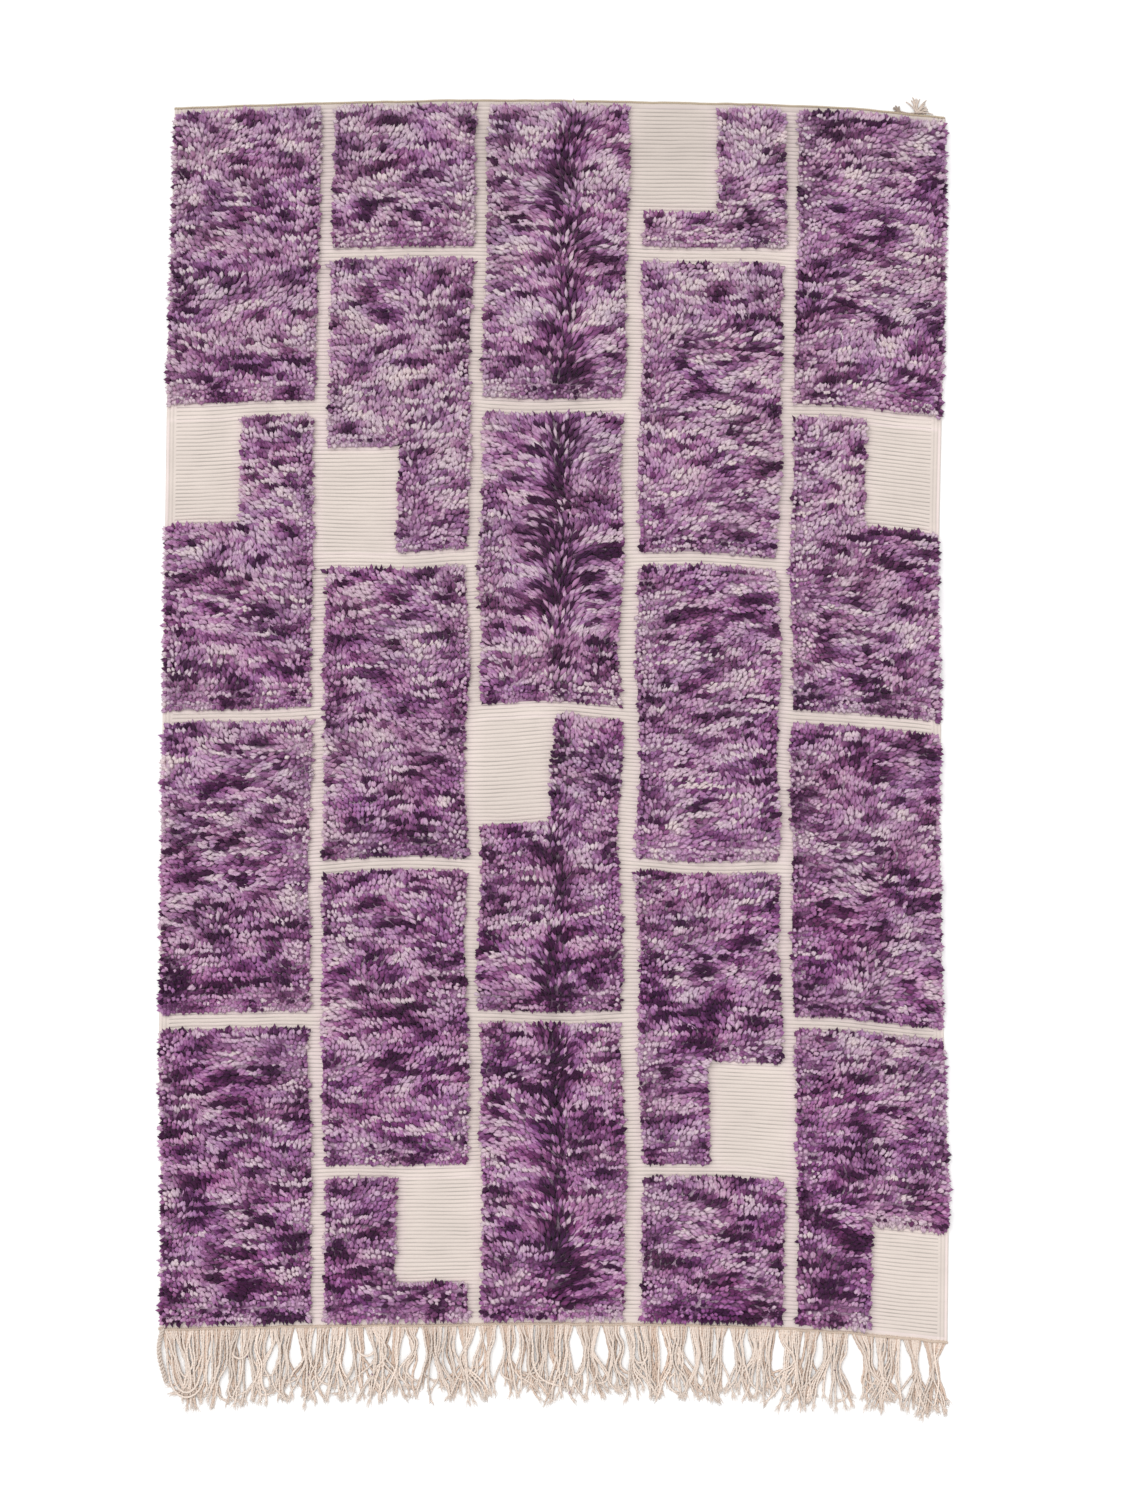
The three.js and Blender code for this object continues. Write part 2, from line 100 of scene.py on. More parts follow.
# Slow noises: seed, strength, size of their features, and how many times finer they are across and
# along
NOISES = {
    "tone_patches": (5, 0.1, 130 * MM, 1, 1),
    "tone_streaks": (6, 0.24, 36 * MM, 0.7, 1.6),
    "lean_way": (11, 90, 105 * MM, 1, 1),
    "lean_slope": (12, 0.2, 90 * MM, 1, 1),
    "tip_height": (21, 1.2 * MM, 60 * MM, 1, 1),
    "rib_bow": (31, 2.2 * MM, 110 * MM, 1, 1),
    "rib_waver": (32, 0.9 * MM, 14 * MM, 0.35, 1),
    "ground_patches": (33, 0.035, 45 * MM, 1, 1),
    "groove_shade_depth": (34, 0.1, 37 * MM, 1, 1),
    "weft_tone": (35, 0.02, 6 * MM, 0.2, 1),
    "groove_shade_waver": (36, 0.15, 13 * MM, 0.45, 1),
    "base_height": (41, 1 * MM, 22 * MM, 1, 1),
    "foot_cord": (61, 1.6 * MM, 26 * MM, 1, 0),
    "head_cord": (62, 0.7 * MM, 26 * MM, 1, 0),
    "plum_cast": (71, 0.6, 60 * MM, 1, 2),
    "dye_depth": (72, 1, 75 * MM, 1, 1.4),
}

# Seeds of the random draws
SEEDS = {"yarn_spin": 9, "foot_cord": 61, "head_cord": 62, "inner_tufts": 77, "rim_tufts": 88,
         "rim_locks": 89, "fringe": 404, "corner_tails": 808, "yarn_runs": 1000}


def scatter(first, second):
    """Repeatable number from 0 to 1 for two counters."""
    wave = math.sin(first * SCATTER_TURNS[0] + second * SCATTER_TURNS[1]) * SCATTER_SCALE
    return wave - math.floor(wave)


def lay(across, along):
    """Lies points of the plain rectangle in the rug's real, uneven outline."""
    across = np.asarray(across, float)
    along = np.asarray(along, float)
    u = np.clip(across / WIDTH, 0, 1)
    v = np.clip(along / LENGTH, 0, 1)
    inner = np.sin(np.pi * u) * np.sin(np.pi * v)
    turn = FULL_TURN / DRIFT_LENGTH
    drift_x = DRIFT * inner * np.sin((along + across * DRIFT_SLANT_X) * turn)
    drift_y = DRIFT * inner * np.cos((across + along * DRIFT_SLANT_Y) * turn)
    left = -WIDTH / 2 - np.interp(v, SIDE_ALONG, SIDE_LEFT) * MM
    right = WIDTH / 2 + np.interp(v, SIDE_ALONG, SIDE_RIGHT) * MM
    foot = -np.interp(u, END_ACROSS, END_FOOT) * MM
    head = LENGTH + np.interp(u, END_ACROSS, END_HEAD) * MM
    x = left + (right - left) * across / WIDTH + drift_x
    y = foot + (head - foot) * along / LENGTH + drift_y
    return x + FOOT_MIDDLE[0], y + FOOT_MIDDLE[1]


def channel_width(column, line):
    return CHANNEL + CHANNEL_SPREAD * (2 * scatter(column + 1, line + 7) - 1)


def add_block(panel, side, end):
    """Cuts a flat-woven block out of one corner of a panel. Its inner corner lies among the pile, and
    its outer corner is the panel's own."""
    left = panel["left"] if side == "left" else panel["right"] - BLOCK_WIDTH
    foot = panel["foot"] if end == "foot" else panel["head"] - BLOCK_LENGTH
    right = left + BLOCK_WIDTH
    head = foot + BLOCK_LENGTH
    panel["block"] = (left, right, foot, head)
    panel["inner"] = (right if side == "left" else left, head if end == "foot" else foot)
    panel["outer"] = (panel[side], panel[end])


def panel_layout():
    """Plain rectangles of the pile panels, with the flat-woven block that each one gives up."""
    pitch_x = WIDTH / COLUMNS
    pitch_y = LENGTH / PANELS_IN_COLUMN
    panels = []
    for column in range(COLUMNS):
        first = 0.5 if column % 2 else 1
        lines = [0, *(np.arange(first, PANELS_IN_COLUMN) * pitch_y), LENGTH]
        last = len(lines) - 2
        left_gap = EDGE_INSET if column == 0 else channel_width(column, -1) / 2
        right_gap = EDGE_INSET if column == COLUMNS - 1 else channel_width(column + 1, -1) / 2
        for number in range(last + 1):
            foot_gap = FOOT_HEM if number == 0 else channel_width(column, number) / 2
            head_gap = HEAD_WEB if number == last else channel_width(column, number + 1) / 2
            panel = {
                "column": column,
                "number": number,
                "left": column * pitch_x + left_gap,
                "right": (column + 1) * pitch_x - right_gap,
                "foot": lines[number] + foot_gap,
                "head": lines[number + 1] - head_gap,
                "block": None,
            }
            if (column, number) in BLOCKS:
                add_block(panel, *BLOCKS[column, number])
            panels.append(panel)
    return panels


PANELS = panel_layout()


def crease_at(along):
    return CREASE_AT_FOOT + (CREASE_AT_HEAD - CREASE_AT_FOOT) * along / LENGTH


def linear(code):
    """Linear colour of a hex code."""
    parts = np.array([int(code[i:i + 2], 16) / 255 for i in (0, 2, 4)])
    return np.where(parts <= 0.04045, parts / 12.92, ((parts + 0.055) / 1.055) ** 2.4)


def ramp(value, start, run):
    """From 0 at the start to 1 a run further on, which may be backwards."""
    return np.clip((value - start) / run, 0, 1)


def fade(distance, reach):
    """From 1 at no distance to 0 at the reach."""
    return np.clip(1 - distance / reach, 0, 1)


def bell(distance, reach):
    return np.exp(-(distance / reach) ** 2)


def noise(name, x, y):
    """One of the slow noises at points of a plane, to either side of 0 by its strength."""
    seed, strength, size, finer_x, finer_y = NOISES[name]
    table = np.random.default_rng(seed).uniform(-1, 1, (NOISE_CELLS, NOISE_CELLS))
    px = x * finer_x / size + NOISE_START[0]
    py = y * finer_y / size + NOISE_START[1]
    ix = np.floor(px).astype(int)
    iy = np.floor(py).astype(int)
    fx = px - ix
    fy = py - iy
    fx = fx * fx * (3 - 2 * fx)
    fy = fy * fy * (3 - 2 * fy)
    low_x, high_x = ix % NOISE_CELLS, (ix + 1) % NOISE_CELLS
    low_y, high_y = iy % NOISE_CELLS, (iy + 1) % NOISE_CELLS
    low = table[low_x, low_y] * (1 - fx) + table[high_x, low_y] * fx
    high = table[low_x, high_y] * (1 - fx) + table[high_x, high_y] * fx
    return strength * (low * (1 - fy) + high * fy)


def unit(vectors):
    return vectors / np.maximum(np.linalg.norm(vectors, axis=-1, keepdims=True), 1e-12)


def flat_ways(angles):
    """Unit vectors on the floor, at angles from the rug's right."""
    return np.stack([np.cos(angles), np.sin(angles), np.zeros(len(angles))], axis=1)


# Yarns as meshes

SPIN_LIFT = 0.13
DROP_UNEVEN = (0.82, 1.12)
DROP_SLIP = 0.22
DROP_RING_AT = 0.7
CAP_CORNERS = ((0.1, 0.0), (0.3, 0.02), (0.5, 0.0))
CELL_MARGIN = 0.12
MAP_WIDTH = 1.7
MAP_LENGTH = 2.7
MAP_FOOT = 1.25
MAP_HALF = 0.49


def repeated(faces, corners, count, per_yarn):
    """One yarn's triangles for all yarns, the yarn of each point, and the map of each corner in its
    yarn's own unit square."""
    triangles = np.array(faces)[None] + (np.arange(count) * per_yarn)[:, None, None]
    corners = np.array(corners)
    corners = np.broadcast_to(corners[None], (count, *corners.shape))
    return triangles.reshape(-1, 3), np.repeat(np.arange(count), per_yarn), corners


def yarns(paths, radii, sides, turn=0.0, section=None):
    """Closed tubes along many paths at once, the last point of a path being the tip of its yarn. A turn
    at each ring and a section's reach at each side make the yarn look plied. Gives points, triangles,
    the yarn of each point, and the map corners."""
    count, stops = paths.shape[:2]
    rings = stops - 1
    radii = np.broadcast_to(radii, (count, rings))
    turn = np.broadcast_to(turn, (count, rings))
    section = np.ones(sides) if section is None else np.array(section)
    before = paths[:, np.maximum(np.arange(rings) - 1, 0)]
    after = paths[:, np.arange(rings) + 1]
    tangent = unit(after - before)
    side = unit(np.cross(tangent, [0.0, 0.0, 1.0]))
    other = np.cross(tangent, side)
    angles = (np.arange(sides) * 2 * np.pi / sides)[None, None, :] + turn[:, :, None]
    ring = side[:, :, None] * np.cos(angles)[..., None] + other[:, :, None] * np.sin(angles)[..., None]
    ring = paths[:, :rings, None] + ring * radii[:, :, None, None] * section[:, None]
    points = np.concatenate([ring.reshape(count, rings * sides, 3), paths[:, -1:]], axis=1)

    faces = [(0, k + 1, k) for k in range(1, sides - 1)]
    corners = [CAP_CORNERS] * (sides - 2)
    for r in range(rings - 1):
        low, high = r / rings, (r + 1) / rings
        for k in range(sides):
            a = r * sides + k
            b = r * sides + (k + 1) % sides
            left, right = k / sides, (k + 1) / sides
            faces += [(a, b, b + sides), (a, b + sides, a + sides)]
            corners += [((left, low), (right, low), (right, high)),
                        ((left, low), (right, high), (left, high))]
    last = (rings - 1) * sides
    low = (rings - 1) / rings
    for k in range(sides):
        faces.append((last + k, last + (k + 1) % sides, rings * sides))
        corners.append(((k / sides, low), ((k + 1) / sides, low), ((k + 0.5) / sides, 1.0)))
    return points.reshape(-1, 3), *repeated(faces, corners, count, rings * sides + 1)


def drops(paths, radii, sides, spin, dice):
    """Closed drops along three-point paths: a root point, one uneven ring, and a blunt tip. Gives the
    same as the tubes, and the share along the yarn for each point."""
    count = len(paths)
    tangent = unit(paths[:, 2] - paths[:, 0])
    helper = np.stack([np.cos(spin), np.sin(spin), np.full(count, SPIN_LIFT)], axis=1)
    side = unit(np.cross(tangent, helper))
    other = np.cross(tangent, side)
    angles = np.arange(sides) * 2 * np.pi / sides
    uneven = dice.uniform(*DROP_UNEVEN, (count, sides)) * radii[:, None]
    slip = dice.normal(0, DROP_SLIP, (count, sides)) * radii[:, None]
    ring = (paths[:, None, 1]
            + side[:, None] * (np.cos(angles) * uneven)[..., None]
            + other[:, None] * (np.sin(angles) * uneven)[..., None]
            + tangent[:, None] * slip[..., None])
    points = np.concatenate([paths[:, :1], ring, paths[:, 2:]], axis=1)
    middle = (np.linalg.norm(paths[:, 1] - paths[:, 0], axis=1)
              / np.linalg.norm(paths[:, 2] - paths[:, 0], axis=1)).clip(0, 1)
    share = np.concatenate([np.zeros((count, 1)), np.repeat(middle[:, None], sides, 1),
                            np.ones((count, 1))], axis=1)
    faces = []
    corners = []
    for k in range(sides):
        low, high = k / sides, (k + 1) / sides
        following = (k + 1) % sides
        faces += [(0, 1 + following, 1 + k), (1 + k, 1 + following, sides + 1)]
        corners += [(((low + high) / 2, 0), (high, DROP_RING_AT), (low, DROP_RING_AT)),
                    ((low, DROP_RING_AT), (high, DROP_RING_AT), ((low + high) / 2, 1))]
    return points.reshape(-1, 3), *repeated(faces, corners, count, sides + 2), share.reshape(-1)


def cells(parts):
    """Moves each yarn's unit square to its own cell of one square map."""
    per_side = math.ceil(math.sqrt(sum(len(part) for part in parts)))
    laid = []
    start = 0
    for part in parts:
        number = np.arange(start, start + len(part))
        start += len(part)
        origin = np.stack([number % per_side, number // per_side], axis=1)[:, None, None]
        laid.append(((origin + CELL_MARGIN + part * (1 - 2 * CELL_MARGIN)) / per_side).reshape(-1, 2))
    return np.concatenate(laid)


def flat_map(points, triangles, top):
    """Map of a flat sheet from above: its top triangles, which come first, beside all the others."""
    u = (points[:, 0] / MAP_WIDTH + 0.5) * MAP_HALF
    v = (points[:, 1] + MAP_FOOT) / MAP_LENGTH
    uv = np.stack([u, v], axis=1)[triangles.ravel()]
    uv[3 * top:, 0] += 0.5
    return uv


def halved(a, b, c, d):
    """Two triangles for each four-cornered cell."""
    return np.concatenate([np.stack([a, b, c], 1), np.stack([a, c, d], 1)])


def closed_underside(points, loop, height):
    """Walls down from a loop of points that runs counter-clockwise, and the flat face below them.
    Gives the triangles, and the new points, which are numbered on from the old ones."""
    start = len(points)
    base = points[loop] * [1, 1, 0] + [0, 0, height]
    here = np.arange(len(loop))
    following = (here + 1) % len(loop)
    under = np.array(tessellate_polygon([[Vector(point) for point in base]]))
    p, q, r = (base[under[:, k], :2] for k in range(3))
    upward = (q[:, 0] - p[:, 0]) * (r[:, 1] - p[:, 1]) - (q[:, 1] - p[:, 1]) * (r[:, 0] - p[:, 0]) > 0
    under[upward] = under[upward][:, ::-1]
    triangles = np.concatenate([np.stack([start + here, start + following, loop[following]], 1),
                                np.stack([start + here, loop[following], loop[here]], 1),
                                start + under])
    return triangles, base


class Piece:
    """Collects points, triangles, colours and map corners, and makes one mesh of them. The corners are
    unit squares of yarns, or a map that is laid out already."""

    def __init__(self):
        self.points = []
        self.triangles = []
        self.colours = []
        self.corners = []
        self.count = 0

    def add(self, points, triangles, colours, corners):
        self.points.append(points)
        self.triangles.append(triangles + self.count)
        self.colours.append(np.broadcast_to(colours, (len(points), 3)))
        self.corners.append(corners)
        self.count += len(points)

    def make(self, name, material):
        points = np.concatenate(self.points)
        points[:, 2] = np.maximum(points[:, 2], 0)
        triangles = np.concatenate(self.triangles)
        colours = np.concatenate(self.colours)
        is_yarns = self.corners[0].ndim == 4
        corners = cells(self.corners) if is_yarns else np.concatenate(self.corners)
        mesh = bpy.data.meshes.new(name)
        mesh.vertices.add(len(points))
        mesh.vertices.foreach_set("co", points.astype(np.float32).ravel())
        mesh.loops.add(3 * len(triangles))
        mesh.loops.foreach_set("vertex_index", triangles.astype(np.int32).ravel())
        mesh.polygons.add(len(triangles))
        mesh.polygons.foreach_set("loop_start", np.arange(0, 3 * len(triangles), 3, dtype=np.int32))
        mesh.polygons.foreach_set("use_smooth", np.ones(len(triangles), bool))
        mesh.update(calc_edges=True)
        rgba = np.concatenate([colours, np.ones((len(colours), 1))], axis=1)
        layer = mesh.color_attributes.new("yarn", "FLOAT_COLOR", "POINT")
        layer.data.foreach_set("color", rgba.astype(np.float32).ravel())
        uv = mesh.uv_layers.new(name="OFBake")
        uv.data.foreach_set("uv", corners.astype(np.float32).ravel())
        mesh.materials.append(material)
        piece = bpy.data.objects.new(name, mesh)
        bpy.context.scene.collection.objects.link(piece)
        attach(piece, "root")
        return piece


# Materials

FIBRE_DETAIL = 3
FIBRE_ROUGHNESS = 0.6
FIBRE_RANGE = (0.25, 0.75)
FIBRE_BUMP = 0.5
YARN_SPECULAR = 0.2
SHEEN_ROUGHNESS = 0.5


def set_inputs(node, values):
    for name, value in values.items():
        node.inputs[name].default_value = value


def yarn_material(name, fibre_depth, mottle, roughness, sheen, sheen_tint, fibre_size=1.0, streaks=None):
    """Soft yarn: the mesh's own dye colours, with fine fibres in its colour and its surface. Streaks
    give how often the fibres repeat over the map, across the yarns and along them."""
    material = bpy.data.materials.new(name)
    material.use_nodes = True
    nodes = material.node_tree.nodes
    links = material.node_tree.links
    shader = nodes["Principled BSDF"]
    place = nodes.new("ShaderNodeTexCoord")
    dye = nodes.new("ShaderNodeAttribute")
    dye.attribute_name = "yarn"
    fibres = nodes.new("ShaderNodeTexNoise")
    set_inputs(fibres, {"Scale": 1 / fibre_size, "Detail": FIBRE_DETAIL, "Roughness": FIBRE_ROUGHNESS})
    if streaks:
        stretch = nodes.new("ShaderNodeMapping")
        set_inputs(stretch, {"Scale": (*streaks, 1)})
        links.new(place.outputs["UV"], stretch.inputs["Vector"])
        links.new(stretch.outputs["Vector"], fibres.inputs["Vector"])
    else:
        links.new(place.outputs["Object"], fibres.inputs["Vector"])
    tone = nodes.new("ShaderNodeMapRange")
    set_inputs(tone, {"From Min": FIBRE_RANGE[0], "From Max": FIBRE_RANGE[1],
                      "To Min": 1 - mottle, "To Max": 1 + mottle})
    links.new(fibres.outputs["Fac"], tone.inputs["Value"])
    tinted = nodes.new("ShaderNodeMix")
    tinted.data_type = "RGBA"
    tinted.blend_type = "MULTIPLY"
    set_inputs(tinted, {"Factor": 1})
    links.new(dye.outputs["Color"], tinted.inputs["A"])
    links.new(tone.outputs["Result"], tinted.inputs["B"])
    bump = nodes.new("ShaderNodeBump")
    set_inputs(bump, {"Strength": FIBRE_BUMP, "Distance": fibre_depth})
    links.new(fibres.outputs["Fac"], bump.inputs["Height"])
    links.new(tinted.outputs["Result"], shader.inputs["Base Color"])
    links.new(bump.outputs["Normal"], shader.inputs["Normal"])
    set_inputs(shader, {"Roughness": roughness, "Specular IOR Level": YARN_SPECULAR,
                        "Sheen Weight": sheen, "Sheen Roughness": SHEEN_ROUGHNESS,
                        "Sheen Tint": (*sheen_tint, 1)})
    return material


pile_material = yarn_material("space_dyed_wool", fibre_depth=0.7 * MM, mottle=0.3, roughness=0.95,
                              sheen=0.1, sheen_tint=(0.95, 0.8, 0.95), streaks=(1300, 120))
base_material = yarn_material("wool_depth", fibre_depth=3 * MM, mottle=0.42, roughness=0.95,
                              sheen=0, sheen_tint=(0.9, 0.8, 0.92), fibre_size=4.2 * MM)
ground_material = yarn_material("ivory_weft", fibre_depth=0.5 * MM, mottle=0.07, roughness=0.95,
                                sheen=0.1, sheen_tint=(1, 0.97, 0.93), fibre_size=1.6 * MM)
cotton_material = yarn_material("warp_cotton", fibre_depth=0.5 * MM, mottle=0.1, roughness=0.92,
                                sheen=0.1, sheen_tint=(1, 0.96, 0.92), fibre_size=1.4 * MM)


# Dyed yarn

DYES = np.array([linear(code) for code in (
    "371935", "663a60", "92658c", "ab89a4", "b7a0af", "bfadb5", "c6b5b7")])
DYE_STOPS = np.array([0.0, 0.2, 0.4, 0.6, 0.8, 1.0, 1.15])
LIGHTEST = DYE_STOPS[-1]
DYE_GAIN = 1.16
CAST = 0.08
VIVID = 0.2
RUNS = 120
RUN_LENGTHS = (26 * MM, 70 * MM)
RUN_BLEND = 3 * MM
RUN_START = (0, 0.2)
RUN_CHANGES = 0.78
LIGHT_RUNS = (0.5, 1.02)
DARK_RUNS = (-0.12, 0.42)
UNDYED_AT_HEAD = 0.16
EVEN_AT = 0.45


def dye_of(tone, cast=0.0, depth=0.0):
    """Colour of the space-dyed yarn for tones from 0, darkest, to 1, undyed. The cast, from -1 to 1,
    turns it from violet to plum, and the depth from greyish to vivid."""
    colour = np.stack([np.interp(tone, DYE_STOPS, DYES[:, k]) for k in range(3)], axis=-1)
    dyed = np.clip(LIGHTEST - tone, 0, 1)
    cast = CAST * cast * dyed
    return DYE_GAIN * colour * np.stack([1 + cast, 1 - VIVID * depth * dyed, 1 - cast], axis=-1)


def row_tones(x, row, seed):
    """Tone of the yarn in each knot row: dark and light runs by turns, each a few centimetres long."""
    tones = np.zeros(len(x))
    for number in np.unique(row):
        chosen = row == number
        dice = np.random.default_rng((seed, int(number)))
        ends = np.cumsum(dice.uniform(*RUN_LENGTHS, RUNS)) - dice.uniform(*RUN_START)
        is_light = np.cumsum(dice.random(RUNS) < RUN_CHANGES) % 2 == dice.integers(0, 2)
        levels = np.where(is_light, dice.uniform(*LIGHT_RUNS, RUNS), dice.uniform(*DARK_RUNS, RUNS))
        stops = np.stack([ends - RUN_BLEND, ends + RUN_BLEND], axis=1).ravel()[:-1]
        tones[chosen] = np.interp(x[chosen], stops, np.repeat(levels, 2)[:-1])
    return tones


def shift_of_tone(x, y, along):
    """Slow changes of tone over the rug: patches, and more undyed yarn towards the head."""
    return (noise("tone_patches", x, y) + noise("tone_streaks", x, y)
            + UNDYED_AT_HEAD * (along / LENGTH - EVEN_AT))


def yarn_seed(panel):
    return SEEDS["yarn_runs"] + 10 * panel["column"] + panel["number"]


def panel_dice(panel, name):
    return np.random.default_rng((SEEDS[name], panel["column"], panel["number"]))


# Outlines of the pile panels

RIM_PITCH = 3 * MM
RIM_CORNER = 16 * MM
FAN_INWARD = -0.4
FAN_PULL = 0.3
EDGE_PULL = 17 * MM


def in_block(panel, across, along, margin=0.0):
    """Which points lie over the panel's block, grown by a margin."""
    left, right, foot, head = panel["block"]
    return ((across > left - margin) & (across < right + margin)
            & (along > foot - margin) & (along < head + margin))


def distance_outside(panel, across, along, inset=0.0):
    """How far points lie outside the panel's rectangle, drawn in by an inset."""
    dx = np.maximum(panel["left"] + inset - across, across - panel["right"] + inset)
    dy = np.maximum(panel["foot"] + inset - along, along - panel["head"] + inset)
    return np.hypot(np.maximum(dx, 0), np.maximum(dy, 0))


def inside_panel(panel, across, along, inset):
    """Which points carry pile: inside the panel, clear of its block, with rounded corners."""
    kept = distance_outside(panel, across, along, inset + RIM_CORNER) < RIM_CORNER
    if panel["block"]:
        kept &= ~in_block(panel, across, along, inset)
    return kept


def panel_corners(panel):
    """Corners of the panel's outline, counter-clockwise, with the block cut out of it."""
    left, right, foot, head = (panel[key] for key in ("left", "right", "foot", "head"))
    corners = [(left, foot), (right, foot), (right, head), (left, head)]
    if panel["block"]:
        inner_x, inner_y = panel["inner"]
        outer_x, outer_y = panel["outer"]
        place = corners.index((outer_x, outer_y))
        beside = [(inner_x, outer_y), (outer_x, inner_y)]
        if corners[place - 1][1] != outer_y:
            beside.reverse()
        corners[place:place + 1] = [beside[0], (inner_x, inner_y), beside[1]]
    return corners


def rim_places(panel):
    """Points along the panel's outline, with the way out at each, fanned at the corners, and the kind
    of edge that each is on."""
    corners = np.array(panel_corners(panel))
    places = []
    outward = []
    edges = []
    for k, start in enumerate(corners):
        end = corners[(k + 1) % len(corners)]
        following = corners[(k + 2) % len(corners)]
        span = np.linalg.norm(end - start)
        along = (end - start) / span
        normal = np.array([along[1], -along[0]])
        fan_at_start = 1 if np.dot(start - corners[k - 1], -normal) < 0 else FAN_INWARD
        fan_at_end = 1 if np.dot(following - end, -normal) > 0 else FAN_INWARD
        steps = np.arange(RIM_PITCH / 2, span, RIM_PITCH)
        fan = fade(span - steps, RIM_CORNER) * fan_at_end - fade(steps, RIM_CORNER) * fan_at_start
        pull = np.abs(fan) ** 2 * FAN_PULL * RIM_CORNER
        places.append(start + steps[:, None] * along - normal * pull[:, None])
        outward.append(unit(normal + along * fan[:, None]))
        edges += ["foot" if normal[1] < -0.5 else "head" if normal[1] > 0.5 else "side"] * len(steps)
    return np.concatenate(places), np.concatenate(outward), np.array(edges)


def rim_pull(panel, across, along):
    """How strongly the nearby edges of the pile draw a tuft over them, from 0 to 1, and which way."""
    ways = [(-1, 0, across - panel["left"]), (1, 0, panel["right"] - across),
            (0, -1, along - panel["foot"]), (0, 1, panel["head"] - along)]
    if panel["block"]:
        left, right, foot, head = panel["block"]
        way_x = np.clip(across, left, right) - across
        way_y = np.clip(along, foot, head) - along
        away = np.maximum(np.hypot(way_x, way_y), MM)
        ways.append((way_x / away, way_y / away, away))
    pull_x = sum(bell(away, EDGE_PULL) * way_x for way_x, way_y, away in ways)
    pull_y = sum(bell(away, EDGE_PULL) * way_y for way_x, way_y, away in ways)
    pull = np.maximum(np.hypot(pull_x, pull_y), 1e-6)
    return np.minimum(pull, 1), pull_x / pull, pull_y / pull


# Tufts inside the panels. Angles are in degrees and slopes are reach for rise. A pair is a range, or a
# strength and how far it reaches from the fold; a calm is its reach and what it leaves at the edge.

ROW_PITCH = 10 * MM
ROW_SLIP = 1.5 * MM
ROWS_BEFORE = 100
TUFT_PITCH = 5.2 * MM
TUFT_SLIP = 1.2 * MM
TUFT_ROOT = 9 * MM
TUFT_RADIUS = 5.0 * MM
TUFT_RADII = (0.85, 1.2)
TUFT_BELLY = 0.7
INNER_INSET = 10 * MM
LOCK_WIDTH = 9 * MM
LOCKS_IN_ROW = 64
LOCK_STEP = 0.37

LEAN_RIGHT = 44
LEAN_LEFT = 26
LEAN_FADE = 180 * MM
LOCK_LEAN = 10
TUFT_LEAN = 11
SLOPE = 1.3
SLOPE_LIMITS = (0.5, 1.7)
LOCK_SLOPE = 0.08
TUFT_SLOPE = 0.09
SIDE_CALM = (60 * MM, 0.1)
FOOT_CALM = (45 * MM, 0.3)
PARTING_NEAR = (0.45, 45 * MM)
PARTING_FAR = (0.5, 110 * MM)
PARTING_TURN = 22 * MM
PARTING_AHEAD = 0.3
RIM_LEAN = 0.9
FOOT_DROOP = (-0.2, 1.1)

LOCK_HEIGHT = 0.8
LOCK_TONE = 0.035
TUFT_TONE = 0.02
# Painted shade where the pile parts at the fold: tufts are darkened near it, and less so in a wider halo; a
# share of them gets a random factor instead, from slightly lighter to slightly darker
CREASE_PAINTED_SHADE = (0.4, 19 * MM)
CREASE_SHADE_HALO = 0.06
CREASE_LIGHT_SHARE = 0.34
CREASE_LIGHT = (-0.4, 0.4)


